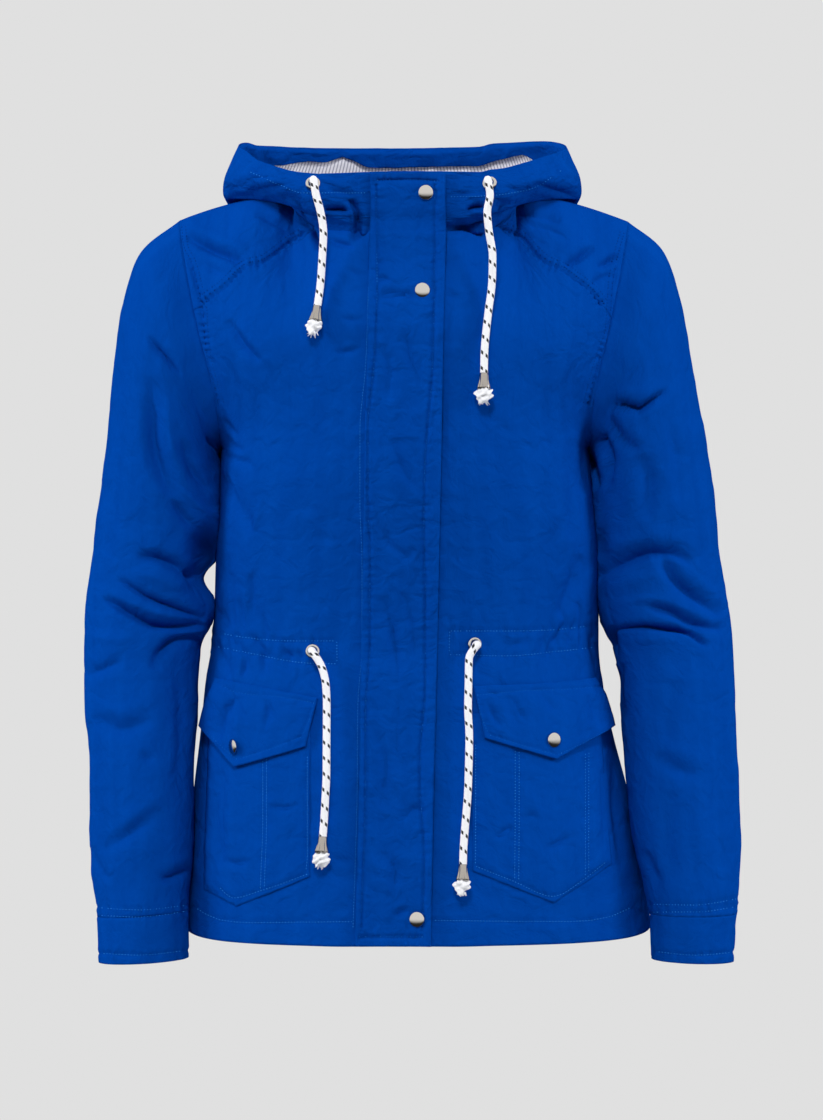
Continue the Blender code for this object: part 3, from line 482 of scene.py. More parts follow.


# plain weave, long soft streaks of painted sheen along the warp and fine crinkles, from the cloth's own flat measures
def weaveGroup():
    look, parts = weaveLook, weaveLook["parts"]
    group, nodes, links = nodeGroup("weave", [("Tint", "NodeSocketFloat"), ("Height", "NodeSocketFloat")])
    flat, value = flatMeasures(nodes), partial(valueNode, nodes, links)

    def noise(scale, detail, stretch=(1, 1, 1), kind="FBM"):
        spread = nodes.new("ShaderNodeVectorMath")
        spread.operation = "MULTIPLY"
        spread.inputs[1].default_value = stretch
        links.new(flat, spread.inputs[0])
        node = nodes.new("ShaderNodeTexNoise")
        node.noise_type = kind
        for title, setting in (("Scale", scale), ("Detail", detail), ("Distortion", look["distortion"])):
            node.inputs[title].default_value = setting
        links.new(spread.outputs[0], node.inputs["Vector"])
        return node.outputs["Fac"]

    threads = []
    for way in ("X", "Y"):
        wave = nodes.new("ShaderNodeTexWave")
        wave.bands_direction = way
        wave.inputs["Scale"].default_value = look["threads"]
        wave.inputs["Distortion"].default_value = look["wander"]
        links.new(flat, wave.inputs["Vector"])
        threads.append(wave.outputs["Fac"])
    weave = value("MULTIPLY", *threads)
    streak, slub, ridges = (value("MULTIPLY", noise(*look[name]), parts[name]) for name in ("streak", "slub", "ridges"))
    crinkle = value("ADD", noise(*look["crinkle"]), ridges)
    end = nodes.new("NodeGroupOutput")
    # the tint holds the weave's own tone, random slub tone and the painted sheen streaks
    tint = value("ADD", value("MULTIPLY", weave, parts["weaveTint"]), value("ADD", streak, slub))
    links.new(tint, end.inputs["Tint"])
    links.new(value("ADD", value("MULTIPLY", weave, parts["weaveHeight"]), crinkle), end.inputs["Height"])
    return group


def newMaterial(name):
    material = bpy.data.materials.new(name)
    material.use_nodes = True
    nodes, links = material.node_tree.nodes, material.node_tree.links
    return material, nodes, links, nodes["Principled BSDF"]


def mixColours(nodes, links, share, first, second):
    mix = nodes.new("ShaderNodeMix")
    mix.data_type = "RGBA"
    for socket, value in ((mix.inputs["Factor"], share), (mix.inputs["A"], first), (mix.inputs["B"], second)):
        if isinstance(value, (tuple, float, int)):
            socket.default_value = value
        else:
            links.new(value, socket)
    return mix.outputs["Result"]


# a material of two colours mixed by fine noise
def mottled(name, scale, dark, light, roughness, detail=2):
    material, nodes, links, shader = newMaterial(name)
    noise = nodes.new("ShaderNodeTexNoise")
    noise.inputs["Scale"].default_value = scale
    noise.inputs["Detail"].default_value = detail
    links.new(mixColours(nodes, links, noise.outputs["Fac"], dark, light), shader.inputs["Base Color"])
    shader.inputs["Roughness"].default_value = roughness
    return material, shader


weave = weaveGroup()
shellLook = {
    "deep": (0.0, 0.040, 0.275, 1),
    "light": (0.0006, 0.062, 0.375, 1),
    "roughness": 0.5,
    "metallic": 0.13,
    "specular": 0.0,
    "specularTint": (0.03, 0.25, 1, 1),
    "bump": 1.0,
    "crinkle": {"shell": 2.8 * mm, "shellCrinkled": 4.6 * mm},
}


def shellMaterial(name):
    material, nodes, links, shader = newMaterial(name)
    cloth = nodes.new("ShaderNodeGroup")
    cloth.node_tree = weave
    # the weave's tint mixes the deep and light blues, so the cloth's colour carries painted sheen streaks as well as
    # its own tone
    colour = mixColours(nodes, links, cloth.outputs["Tint"], shellLook["deep"], shellLook["light"])
    links.new(colour, shader.inputs["Base Color"])
    bump = nodes.new("ShaderNodeBump")
    bump.inputs["Strength"].default_value = shellLook["bump"]
    bump.inputs["Distance"].default_value = shellLook["crinkle"][name]
    links.new(cloth.outputs["Height"], bump.inputs["Height"])
    links.new(bump.outputs["Normal"], shader.inputs["Normal"])
    shader.inputs["Roughness"].default_value = shellLook["roughness"]
    shader.inputs["Specular IOR Level"].default_value = shellLook["specular"]
    shader.inputs["Specular Tint"].default_value = shellLook["specularTint"]
    slant = nodes.new("ShaderNodeLayerWeight")
    slant.inputs["Blend"].default_value = 0.5
    gloss = ranged(nodes, links, slant.outputs["Facing"], (0.3, 0.7, shellLook["metallic"], 0.0))
    links.new(gloss, shader.inputs["Metallic"])  # a coloured gloss where the cloth faces the eye
    return material


threadLook = {
    "thread": ((0.008, 0.13, 0.50, 1), (0.03, 0.22, 0.68, 1)),
    # painted shade: the yoke and armhole stitches are darker than the cloth, for the shade in their puckered seam
    # grooves
    "shadedSeamThread": ((0.0, 0.022, 0.15, 1), (0.0, 0.04, 0.26, 1)),
    "grain": 900,
    "roughness": 0.8,
    "specular": 0.1,
}


def threadMaterial(name):
    material, shader = mottled(name, threadLook["grain"], *threadLook[name], threadLook["roughness"])
    shader.inputs["Specular IOR Level"].default_value = threadLook["specular"]
    return material


shell, crinkled = shellMaterial("shell"), shellMaterial("shellCrinkled")
thread, shadedSeamThread = threadMaterial("thread"), threadMaterial("shadedSeamThread")
print("shell and thread materials ready")

cloth = []  # every cloth grid, for the sewing to lie on


# a picture line moved aside, positive below it or left of it
def beside(points, by):
    line = bend(points, 3 * len(points))
    way = unit(np.gradient(line, axis=0))
    return (line + by * np.stack([-way[:, 1], way[:, 0]], axis=-1)).tolist()


sewLook = {"pitch": 3.0, "dash": 2.1, "thick": 0.62 * mm, "lift": 0.3 * mm, "longest": 4 * mm}
beadFaces = ((0, 1, 2), (0, 2, 3), (4, 2, 1), (4, 3, 2), (0, 3, 1), (4, 1, 3))


# sewn stitches along picture lines, each a small bead on the uppermost cloth
def sew(name, tree, lines, behind=False, yarn=thread):
    verts, faces, thick, dash = [], [], sewLook["thick"], sewLook["dash"]
    for points in lines:
        line = bend(points, max(8, 3 * len(points)))
        keys = lengthsAlong(line)
        for start in np.arange(0.5, keys[-1] - dash, sewLook["pitch"]):
            spots = [[np.interp(at, keys, line[:, axis]) for axis in (0, 1)] for at in (start, start + dash)]
            (head, headWay), (tail, tailWay) = (seenAt(tree, px, py, behind) for px, py in spots)
            if head is None or tail is None or np.linalg.norm(head - tail) > sewLook["longest"]:
                continue
            up = unit(headWay + tailWay)
            aside, lift = unit(np.cross(tail - head, up)) * thick, up * sewLook["lift"]
            middle, first = (head + tail) / 2 + lift, len(verts)
            verts += [head + lift, middle + aside, middle + up * thick, middle - aside, tail + lift]
            faces += [tuple(first + corner for corner in face) for face in beadFaces]
    mesh = bpy.data.meshes.new(name)
    mesh.from_pydata([tuple(v) for v in verts], [], faces)
    mesh.materials.append(yarn)
    mesh.shade_smooth()
    piece = linked(name, mesh)
    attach(piece, "root")


def clothPiece(node, points, tube=False, material=shell, wall=0.8 * mm):
    piece = gridPiece(node + "Cloth", points, material, wall, tube)
    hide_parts(node)
    cloth.append(points)


# creases of the fronts
frontCreases = [
    # wearer's right chest
    (6, -2.2, 0, 228, 320, 243, 344, 262, 362), (6, 1.3, 0, 237, 322, 252, 343, 276, 370),
    (3.5, -0.9, 0, 341, 318, 352, 320, 361, 320), (3.5, -1.1, 0, 335, 353, 350, 351, 361, 347),
    (3, -0.8, 0, 350, 271, 357, 275, 363, 280), (3, -1.0, 0, 333, 244, 345, 247, 357, 249),
    (4, -2.6, 0, 313, 229, 315, 240, 321, 254),
    # wearer's right waist
    (8, -2.2, 0, 225, 473, 238, 505, 254, 536), (6, -2.0, 0, 227, 555, 229, 595, 230, 630),
    (6, -1.6, 0, 251, 574, 253, 600, 255, 628), (4, -1.5, 0, 217, 640, 223, 660, 231, 677),
    (4, 1.1, 0, 246, 643, 241, 664, 236, 683), (4, -1.2, 0, 258, 644, 263, 660, 267, 677),
    (4, 1.0, 0, 271, 655, 265, 668, 258, 680), (4, -0.8, 0, 284, 640, 288, 655, 287, 672),
    (5, -2.0, 0, 214, 750, 211, 820, 213, 890), (4, -0.8, 0, 331, 858, 343, 860, 354, 860),
    # wearer's left chest
    (3.5, -1.2, 0, 448, 246, 458, 241, 469, 237), (3.5, -1.8, 0, 466, 229, 475, 232, 484, 238),
    (3.5, -0.8, 0, 448, 268, 455, 262, 462, 259), (3.5, -0.7, 0, 446, 300, 452, 297, 460, 296),
    (7, -2.4, 0, 592, 425, 586, 455, 584, 495), (9, -1.4, 0, 570, 440, 574, 490, 570, 540),
    # wearer's left waist
    (8, -2.2, 0, 581, 555, 572, 588, 559, 618), (4, -1.2, 0, 560, 632, 551, 645, 545, 668),
    (4, 1.1, 0, 572, 628, 576, 645, 584, 664), (4, -1.5, 0, 588, 622, 592, 643, 598, 668),
    (4, 0.8, 0, 536, 634, 530, 648, 528, 664), (4, -0.7, 0, 510, 634, 507, 648, 508, 664),
    (6, -2.0, 0, 614, 740, 616, 800, 622, 870),
    # beside the loose edge of the storm flap
    (3.4, -1.5, 0, 450, 240, 445, 330, 441, 476, 437, 700, 436, 890),
    # gathers at the waist
    (2.6, -1.2, 0, 224, 628, 228, 650, 226, 672), (2.6, -1.2, 0, 238, 640, 244, 655, 241, 676),
    (3, -1.3, 0, 250, 636, 262, 648, 268, 662), (2.6, -1.0, 0, 560, 606, 566, 622, 563, 646),
    (2.6, -1.2, 0, 578, 600, 582, 620, 580, 650), (2.6, -1.0, 0, 590, 610, 594, 630, 592, 655),
    (2.8, -1.1, 0, 271, 649, 266, 663, 260, 678), (2.8, -1.0, 0, 248, 656, 245, 667, 242, 679),
    (2.8, -1.2, 0, 229, 633, 232, 640, 236, 648), (2.8, -1.6, 0, 281, 650, 288, 654, 295, 656),
    (2.8, -1.2, 0, 296, 651, 301, 656, 305, 660),
    # by the armpit
    (3, -1.6, 0, 224, 418, 231, 428, 238, 438), (3.5, -1.5, 0, 226, 437, 234, 446, 244, 452),
    (4, -1.2, 0, 222, 453, 236, 459, 252, 465), (2.8, 1.2, 0, 224, 555, 227, 590, 229, 626),
    (2.8, 1.1, 0, 256, 578, 255, 604, 254, 630), (2.8, 1.2, 0, 228, 470, 236, 495, 244, 520),
    (3, 1.0, 0, 263, 498, 257, 519, 250, 540), (3.2, -1.3, 0, 222, 608, 225, 621, 228, 634),
    (3.2, -1.0, 0, 239, 598, 241, 616, 244, 634), (3, -0.9, 0, 262, 614, 264, 627, 266, 640),
    (2.8, -1.3, 0, 565, 621, 560, 632, 555, 646), (2.8, -1.2, 0, 576, 619, 572, 633, 567, 648),
    (2.8, -1.0, 0, 548, 631, 545, 640, 543, 651), (2.6, -0.8, 0, 530, 633, 528, 642, 527, 652),
    (2.6, -0.8, 0, 521, 640, 514, 646, 508, 650),
]
yokeCreases = [
    (5, -3.2, 0, 187, 237, 205, 246, 225, 254, 246, 264), (7, 1.6, 0, 186, 226, 215, 238, 248, 252),
    (5, -1.2, 0, 200, 262, 212, 268, 226, 275), (5, -1.8, 0, 256, 216, 275, 222, 296, 236),
    (4, -2.4, 0, 295, 208, 303, 220, 312, 232), (4, -2.6, 0, 563, 266, 580, 257, 594, 247),
    (6, 1.3, 0, 556, 258, 575, 247, 588, 240), (4, -2.2, 0, 597, 268, 610, 261, 620, 256),
    (4, -1.4, 0, 592, 284, 604, 277, 614, 273), (5, -1.8, 0, 500, 214, 530, 215, 560, 222),
    (5, -1.3, 0, 520, 224, 545, 228, 570, 238),
]
# folds where the hood meets the front, shared by both
neckCreases = [
    (3.4, -5.0, 0, 324, 211, 337, 210, 351, 213), (4.5, 1.8, 0, 330, 219, 342, 222, 352, 225),
    (3.6, -6.5, 0, 350, 200, 356, 212, 358, 230, 355, 246), (4.5, 2.0, 0, 344, 204, 352, 218, 354, 234),
    (4, -1.2, 0, 326, 190, 340, 193, 356, 197), (4, -3.4, 0, 313, 222, 316, 234, 321, 252),
    (4, 1.6, 0, 322, 226, 327, 240, 332, 256), (5, -1.6, 0, 322, 240, 340, 246, 357, 249),
    (4, -4.5, 0, 284, 196, 296, 198, 304, 209, 309, 226), (4, 1.6, 0, 300, 193, 310, 203, 314, 216),
    (3.4, -5.0, 0, 443, 229, 464, 227, 486, 221), (4, 1.8, 0, 448, 217, 464, 219, 480, 215),
    (3.2, -3.0, 0, 446, 234, 458, 229, 472, 232, 486, 239), (4, 1.5, 0, 451, 242, 462, 239, 474, 242),
    (2.8, -4.4, 0, 467, 213, 472, 208.5, 484, 208), (2.6, 2.0, 0, 472, 214.5, 477, 216, 483, 214),
    (3.5, -3.6, 0, 493, 222, 499, 207, 520, 202), (4, 1.4, 0, 488, 205, 492, 213, 490, 226),
]
hoodCreases = [
    (4, -1.8, 0, 246, 192, 268, 189, 292, 183), (5, -1.4, 0, 236, 186, 252, 178, 276, 172),
    (4, -1.0, 0, 248, 163, 258, 172, 270, 178), (4, -1.4, 0, 230, 196, 244, 197, 262, 196),
    (4, -1.2, 0, 450, 192, 462, 196, 474, 195), (4, -2.6, 0, 533, 184, 554, 191, 574, 198),
    (5, 1.3, 0, 524, 178, 545, 183, 566, 188), (5, -1.2, 0, 546, 168, 560, 172, 572, 180),
    (4, -1.1, 0, 500, 186, 512, 190, 528, 192),
]
casing = {"groove": 1.0, "pucker": 1.3, "wave": 10, "reach": 9}
hemSewing = {"groove": 0.9, "pucker": 0.6, "wave": 13, "reach": 9}
puckered = {"groove": 3.0, "pucker": 1.9, "wave": 7, "reach": 6, "half": 1.7}
topSewing = {"groove": 0.7, "pucker": 0.28, "wave": 9, "reach": 6}
yokeRows = {
    "right": [(201, 304), (211, 296), (225, 286), (241, 270), (249, 265), (261, 263), (275, 254), (289, 243), (305, 234)],
    "left": [(498, 228), (510, 232), (523, 239), (532, 250), (547, 263), (562, 269), (573, 277), (590, 290), (603, 306)],
}
armholeRows = {
    "right": [(179, 226), (181, 247), (189, 263), (195, 285), (199.5, 303), (201, 326), (205, 360), (210, 380), (218, 406)],
    "left": [(627, 233), (621, 254), (616, 277), (613, 315), (611, 335), (604, 353), (596, 380), (590, 405)],
}
casingRows = {
    "right": ([(212, 632), (258, 639), (300, 641), (336.6, 641)], [(209, 645), (249, 653), (305, 663), (336.6, 664)]),
    "left": ([(450, 631), (500, 631), (551, 630), (603, 624)], [(449, 654.5), (509, 656), (551, 652), (606, 646)]),
}
hemRows = {
    "right": [(192, 905), (214, 918), (250, 922.5), (355, 921.5)],
    "left": [(434, 920.5), (567, 921.5), (612, 916), (646, 899)],
}
casingEnds = [[(337, 641), (337, 664)], [(449.5, 631), (449, 654.5)]]
frontSeams = sewnAs(allRows(casingRows), casing) + sewnAs(casingEnds, topSewing) + sewnAs(hemRows.values(), hemSewing)
frontSeams += sewnAs([*yokeRows.values(), *armholeRows.values()], puckered)


def crumple(px, py, amount, seed):
    broad = hills(px / 52 + 3, py / 70, seed)
    middle = hills(px / 23 + py / 90, py / 31, seed + 1)
    fine = hills(px / 9 + py / 40, py / 12, seed + 2)
    return amount * mm * (broad + 0.6 * middle + 0.2 * fine)


# sharp little valleys between flat facets, as stiff cloth crumples
def crisp(px, py, amount, size, seed):
    first = hills((px + 0.4 * py) / size, (py - 0.3 * px) / (0.7 * size), seed)
    second = hills((px - 0.5 * py) / (0.55 * size) + 7, (py + 0.2 * px) / (0.5 * size), seed + 5)
    return amount * mm * (abs(first) + 0.5 * abs(second) - 0.5)


# a piece's crumpling by amount and seed, its facets by amount, size and seed, then its placed creases and seams
def wrinkled(px, py, look, creases, seams=()):
    soft = crumple(px, py, *look["crumple"]) + crisp(px, py, *look["crisp"])
    return soft + look["folds"] * creaseField(px, py, creases) + seamField(px, py, seams)


# how far the cloth stands forward under the lowered hood: picture x and millimetres
underHood = [(228, 0), (249, 17), (265, 24), (281, 30), (295, 23), (306, 13), (318, 3), (328, 0), (482, 0), (492, 5),
    (504, 15), (514, 25), (524, 34), (532, 32), (546, 22), (562, 16), (580, 0)]
# the hollow along the neck seam: picture x, the seam's picture y and how far it is filled
neckFill = {
    "seam": [(285, 207, 0), (295, 211, 5), (306, 222, 14), (318, 234, 22), (332, 240, 24), (350, 242, 24), (364, 242, 23),
        (371, 240, 19), (380, 238, 16), (432, 238, 15.5), (441, 240, 17.5), (448, 242, 20.5), (458, 241, 22),
        (470, 240, 23), (484, 236, 22), (495, 230, 18), (504, 222, 12), (514, 211, 5), (524, 207, 0)],
    "above": 72,
    "below": 100,
    "folds": 1.5,
    "ridge": 14,  # its roundness
}


def stoodForward(px, py):
    keys, values = zip(*underHood)
    return through(keys, values, px) * mm * (1 - smoothStep(200, 262, py))


# fills the hollow along the neck seam, on the hood, the fronts and the flap alike
def filledNeck(px, py):
    keys, heights, depths = np.array(neckFill["seam"], float).T
    off = py - np.interp(px, keys, heights)
    half = np.where(off < 0, neckFill["above"], neckFill["below"])
    away = np.sqrt(off**2 + neckFill["ridge"] ** 2) - neckFill["ridge"]
    return np.interp(px, keys, depths) * mm * np.clip(1 - away / half, 0, 1) ** 1.4


def neckFolds(px, py):
    return neckFill["folds"] * creaseField(px, py, neckCreases)


def displaced(points, u, v):
    normal = gridNormals(points, np.array([0.0, -1.0, 0.0]))
    px, py = inPicture(points)
    # still at the armhole, for the sleeve to meet it
    facing = np.clip(-1.6 * normal[..., 1], 0, 1) * (1 - smoothStep(0.955, 1, u))
    field = wrinkled(px, py, frontLook, frontCreases + yokeCreases, frontSeams)
    points = points + normal * (field * facing)[..., None]
    shoulder = smoothStep(0.42, 0.5, u)
    stood = stoodForward(px, py) * (1 - smoothStep(1.88, 2.0, v) * shoulder)
    folded = neckFolds(px, py) * (1 - smoothStep(1.9, 2.0, v) * shoulder)
    points[..., 1] -= stood + filledNeck(px, py) + folded
    return points


frontLook = {
    "columns": 100,
    "lowRows": 210,
    "topRows": 70,
    "crumple": (0.9, 20),
    "crisp": (0.6, 34, 21),
    "folds": 1.8,
    "flat": (0.25, 0.66),
    "area": 0.135,
}
trees = {}


def addFronts():
    for side in sides:
        u = np.concatenate([[0, 0.04, 0.08], np.linspace(0.11, 1, frontLook["columns"] - 3)])  # few columns under the flap
        low = np.linspace(0, 1, frontLook["lowRows"])[:, None] + 0 * u
        top = 1 + (yokeLine(side, u) - 1) * np.linspace(0, 1, frontLook["topRows"] + 1)[1:, None]
        v = np.concatenate([low, top])
        points = displaced(body(side, False, u + 0 * v, v), u, v)
        clothPiece(f"front_{side}", points)
        trees[f"front_{side}"] = surfaceTree(points)


yokeLook = {"columns": 90, "rows": 56, "flat": (0.13, 0.11), "area": 0.0115}


def addYokes():
    for side in sides:
        u = np.linspace(0.24, 1, yokeLook["columns"])
        seam = yokeLine(side, u)
        v = seam + (2 - seam) * np.linspace(0, 1, yokeLook["rows"])[:, None]
        points = displaced(body(side, False, u + 0 * v, v), u, v)
        clothPiece(f"yoke_{side}", points)


backCreases = [
    (10, -2.0, 0, 300, 300, 330, 330, 350, 380), (10, -2.0, 0, 520, 300, 495, 335, 480, 385),
    (9, -2.2, 0, 240, 520, 262, 560, 290, 600), (9, -2.2, 0, 575, 520, 555, 560, 530, 605),
    (8, 1.6, 0, 265, 480, 275, 530, 270, 600), (8, 1.6, 0, 540, 470, 530, 530, 540, 600),
    (12, 2.4, 0, 330, 670, 322, 760, 330, 880), (10, -2.2, 0, 365, 665, 360, 740, 352, 840),
    (12, -2.2, 0, 450, 668, 458, 760, 450, 880), (11, 2.2, 0, 490, 665, 500, 750, 505, 850),
    (5, -1.4, 0, 300, 634, 303, 655, 299, 690), (5, -1.4, 0, 395, 638, 391, 660, 396, 692),
    (5, -1.4, 0, 540, 634, 537, 655, 542, 690),
]
backRows = {
    "casing": [[(190, 632), (300, 640), (520, 640), (620, 632)], [(190, 655), (300, 663), (520, 663), (620, 655)]],
    "hem": [[(190, 915), (300, 921), (520, 921), (640, 915)]],
}
backSeams = sewnAs(backRows["casing"], casing) + sewnAs(backRows["hem"], hemSewing)
backLook = {
    "columns": 50,
    "rows": 130,
    "crumple": (1.3, 40),
    "crisp": (0.8, 34, 42),
    "folds": 1.6,
    "flat": (0.52, 0.66),
    "area": 0.30,
}


def addBack():
    u = np.linspace(0, 1, backLook["columns"])
    v = np.concatenate([np.linspace(0, 1, backLook["rows"]), np.linspace(1, 2, 40)[1:]])[:, None]
    right, left = body("right", True, u[None, ::-1], v), body("left", True, u[None, 1:], v)
    points = np.concatenate([right, left], axis=1)
    normal = gridNormals(points, np.array([0.0, 1.0, 0.0]))
    px, py = inPicture(points)
    field = wrinkled(px, py, backLook, backCreases, backSeams)
    points = points + normal * (field * (1 - smoothStep(1.92, 2, v)))[..., None]
    clothPiece("back", points)


sleeveTable = {
    "right": table(
        "outerX outerZ innerX innerZ middle halfDepth",
        [
            (233, -34, 164, -212, 2, 66), (247, -73, 163, -219, 0, 64), (256, -136, 160, -236, -2, 61),
            (263, -210, 157, -264, -5, 57), (274, -297, 160, -304, -9, 52), (279, -339, 162, -343, -12, 49),
            (280, -387, 180, -382, -18, 46), (279, -426, 181, -426, -27, 44), (273, -483, 182, -483, -43, 42),
            (272, -546, 183, -549, -54, 40), (268, -597, 187, -597, -60, 38), (267, -603, 187, -600, -61, 38),
            (264, -650, 187, -646, -64, 37),
        ],
    ),
    "left": table(
        "outerX outerZ innerX innerZ middle halfDepth",
        [
            (226, -31, 164, -212, 2, 66), (241, -70, 163, -219, 0, 64), (254, -142, 161, -236, -2, 61),
            (266, -210, 160, -262, -5, 57), (276, -295, 164, -300, -9, 52), (283, -343, 168, -346, -12, 49),
            (287, -386, 182, -384, -18, 46), (287, -426, 187, -426, -26, 44), (290, -492, 192, -492, -40, 42),
            (290, -541, 198, -546, -52, 40), (288, -589, 208, -589, -60, 38), (287, -602, 211, -602, -61, 38),
            (284, -649, 213, -647, -64, 37),
        ],
    ),
}
sleeveCreases = {
    "right": [
        # upper arm
        (3.2, -3.6, 0.2, 146, 338, 163, 355, 181, 375), (6, 1.6, 0, 141, 343, 156, 361, 174, 382),
        (11, -4.6, 0.3, 150, 378, 150, 430, 158, 466, 176, 498), (7, 1.6, 0, 138, 386, 140, 430, 152, 482, 172, 509),
        (5, 3.2, 0, 166, 392, 172, 448, 186, 480, 203, 503), (5, -2.6, 0, 182, 440, 194, 470, 210, 492),
        (4, 3.4, 0, 176, 482, 196, 503, 221, 520), (5, -3.0, 0, 172, 500, 186, 518, 196, 531),
        (3.5, -4.0, 0, 212, 410, 218, 424, 221, 440), (3, -2.4, 0, 206, 436, 214, 446, 221, 452),
        (9, -1.6, 0, 108, 480, 112, 520, 104, 556),
        # elbow
        (6, -4.6, 0.2, 138, 556, 158, 559, 178, 568, 192, 580), (8, 2.6, 0, 130, 572, 160, 578, 184, 590),
        (3.6, -4.0, 0.3, 118, 580, 148, 598, 176, 609, 204, 619), (5, 2.4, 0, 100, 590, 130, 603, 165, 615, 202, 622),
        (5.5, -6.0, 0.5, 104, 600, 133, 617, 154, 627, 176, 629, 204, 625), (4, 3.0, 0, 176, 636, 196, 631, 210, 628),
        (5, -4.2, -0.2, 152, 670, 160, 652, 176, 640, 200, 635), (7, 2.0, 0, 88, 634, 112, 640, 138, 636),
        # forearm
        (6, -1.8, 0, 86, 676, 104, 668, 122, 660), (9, -2.4, 0, 92, 718, 122, 729, 154, 717),
        (7, 1.4, 0, 96, 704, 122, 712, 150, 702), (6, -1.4, 0, 142, 752, 148, 758, 155, 757),
        (9, 2.2, 0, 116, 836, 140, 812, 168, 786), (7, -2.2, 0, 104, 851, 130, 832, 160, 808),
        (4.5, -3.0, 0, 160, 880, 174, 876, 190, 868), (6, 1.6, 0, 164, 868, 176, 862, 192, 852),
        (5, -1.6, 0, 92, 846, 98, 866, 110, 882), (8, -1.8, 0, 176, 660, 182, 720, 178, 790),
    ],
    "left": [
        # underarm
        (3.8, -5.4, -0.4, 570, 424, 588, 413, 604, 405, 621, 403, 639, 408, 650, 400, 668, 391),
        (7, 2.2, 0, 598, 396, 620, 394, 642, 395, 660, 384), (4.4, -3.4, 0.2, 603, 407, 611, 426, 624, 443, 642, 450),
        (6, 1.8, 0, 612, 412, 630, 427, 644, 440), (3, -4.5, 0, 586, 444, 596, 440, 607, 436),
        (6, 2.6, 0, 592, 422, 598, 426, 603, 428), (4, 3.4, 0, 596, 446, 601, 458, 602, 474),
        (4, -4.5, 0, 604, 438, 609, 460, 606, 488), (3.5, -4.5, 0, 588, 452, 592, 470, 596, 490),
        (9, -2.6, 0, 640, 455, 650, 484, 646, 520), (8, -1.6, 0, 664, 410, 676, 450, 680, 500),
        (8, 1.6, 0, 626, 470, 632, 500, 628, 535),
        # elbow
        (7, -5.0, 0.45, 594, 580, 604, 573, 619, 565, 637, 558, 652, 554, 671, 554, 694, 566),
        (8, 1.8, 0, 604, 548, 630, 540, 664, 536), (9, 2.4, 0, 604, 590, 640, 577, 662, 574),
        (7, -4.4, 0, 660, 556, 678, 583, 698, 599, 722, 616), (6, 2.0, 0, 690, 570, 712, 592, 728, 606),
        (5.5, -4.4, 0.2, 646, 606, 674, 614, 689, 622, 708, 627, 724, 629), (6, 1.8, 0, 616, 606, 645, 598, 672, 604, 700, 616),
        (3.4, -6.0, 0.45, 614, 631, 641, 628, 667, 630.5, 687, 633, 708, 648), (7, 1.8, 0, 625, 642, 660, 639, 684, 644),
        (3.5, -4.0, 0, 612, 626, 613, 645, 615, 664),
        # forearm
        (6, -2.2, 0, 622, 662, 618, 690, 622, 720), (9, -2.0, 0, 654, 755, 677, 768, 702, 778),
        (9, 1.3, 0, 650, 742, 676, 752, 706, 762), (10, -1.6, 0, 676, 680, 668, 720, 672, 750),
        (8, -1.5, 0, 672, 790, 668, 840, 674, 880), (8, 1.3, 0, 700, 800, 704, 840, 696, 885),
        (8, -1.2, 0, 720, 760, 718, 820, 722, 870), (5, -1.8, 0, 645, 850, 652, 872, 662, 888),
    ],
}
sleeveLook = {
    "spans": (0, 0.33, 0.58, 0.93, 1),
    "rows": (76, 110, 84, 26),
    "troughs": 1.5,
    "ridges": 0.9,
    "notch": (578, 19, 17 * mm),
    "nestle": 14 * mm,
    "nestleEnd": {"right": -0.285, "left": -0.34},
    "crumple": (1.0, 60),
    "crisp": (0.4, 40, 62),
    "flat": (0.41, 0.60),
    "area": 0.205,
    "cuffFlat": (0.25, 0.048),
}
# hollows pressed straight back: picture place, half sizes in pixels, depth in millimetres
sleeveHollows = {
    "right": [(205, 550, 14, 21, 30)],
    "left": [(590, 430, 5, 18, 8), (591, 468, 5, 20, 8), (601, 545, 6, 16, 9), (611, 642, 7, 14, 6)],
}
cuffSewing = {"groove": 1.1, "pucker": 0.9, "wave": 9, "reach": 7}
cuffRows = {
    "right": [[(92, 907), (140, 910), (188, 905)], [(92, 915), (140, 917), (188, 911)], [(94, 953), (140, 955), (190, 950)]],
    "left": [[(650, 904), (695, 905), (741, 898)], [(650, 912), (695, 912), (741, 906)], [(652, 951), (695, 955), (738, 952)]],
}


def armhole(side):
    share = (bodyShape["underarm"] - bodyShape["hem"]) / (bodyShape["chest"] - bodyShape["hem"])
    v = np.concatenate([1 - (1 - share) * np.cos(np.linspace(0, math.pi / 2, 20)), np.linspace(1, 2, 36)[1:]])
    front, back = body(side, False, np.ones_like(v), v), body(side, True, np.ones_like(v), v)
    return np.concatenate([front[::-1], back[1:]]), len(v) - 1


# keeps the inner wall of a sleeve just off the side of the body
def clearOfBody(side, points):
    moved = points.copy()
    hem, underarm, chest = (bodyShape[name] for name in ("hem", "underarm", "chest"))
    u = np.linspace(0.3, 1, 36)
    for back, face in ((False, 1.0), (True, -1.0)):
        here = (points[..., 2] < underarm - 2 * mm) & ((points[..., 1] > bodyShape["sideY"]) == back)
        spots = points[here]
        v = ((np.clip(spots[:, 2], hem, underarm) - hem) / (chest - hem))[:, None]
        level = body(side, back, u + 0 * v, v + 0 * u)
        depth = level[..., 1] * face
        at = np.clip(spots[:, 1] * face, depth[:, 0], depth[:, -1])
        row = np.clip((depth < at[:, None]).sum(axis=-1), 1, len(u) - 1)[:, None]
        low, high = (np.take_along_axis(depth, row - k, -1)[:, 0] for k in (1, 0))
        near, far = (np.take_along_axis(abs(level[..., 0]), row - k, -1)[:, 0] for k in (1, 0))
        wall = near + (far - near) * (at - low) / np.maximum(high - low, 1e-9)
        gap = (1.0 + 1.6 * smoothStep(-0.30, -0.40, spots[:, 2])) * mm
        spots[:, 0] = np.maximum(spots[:, 0], wall + gap)
        moved[here] = spots
    return moved


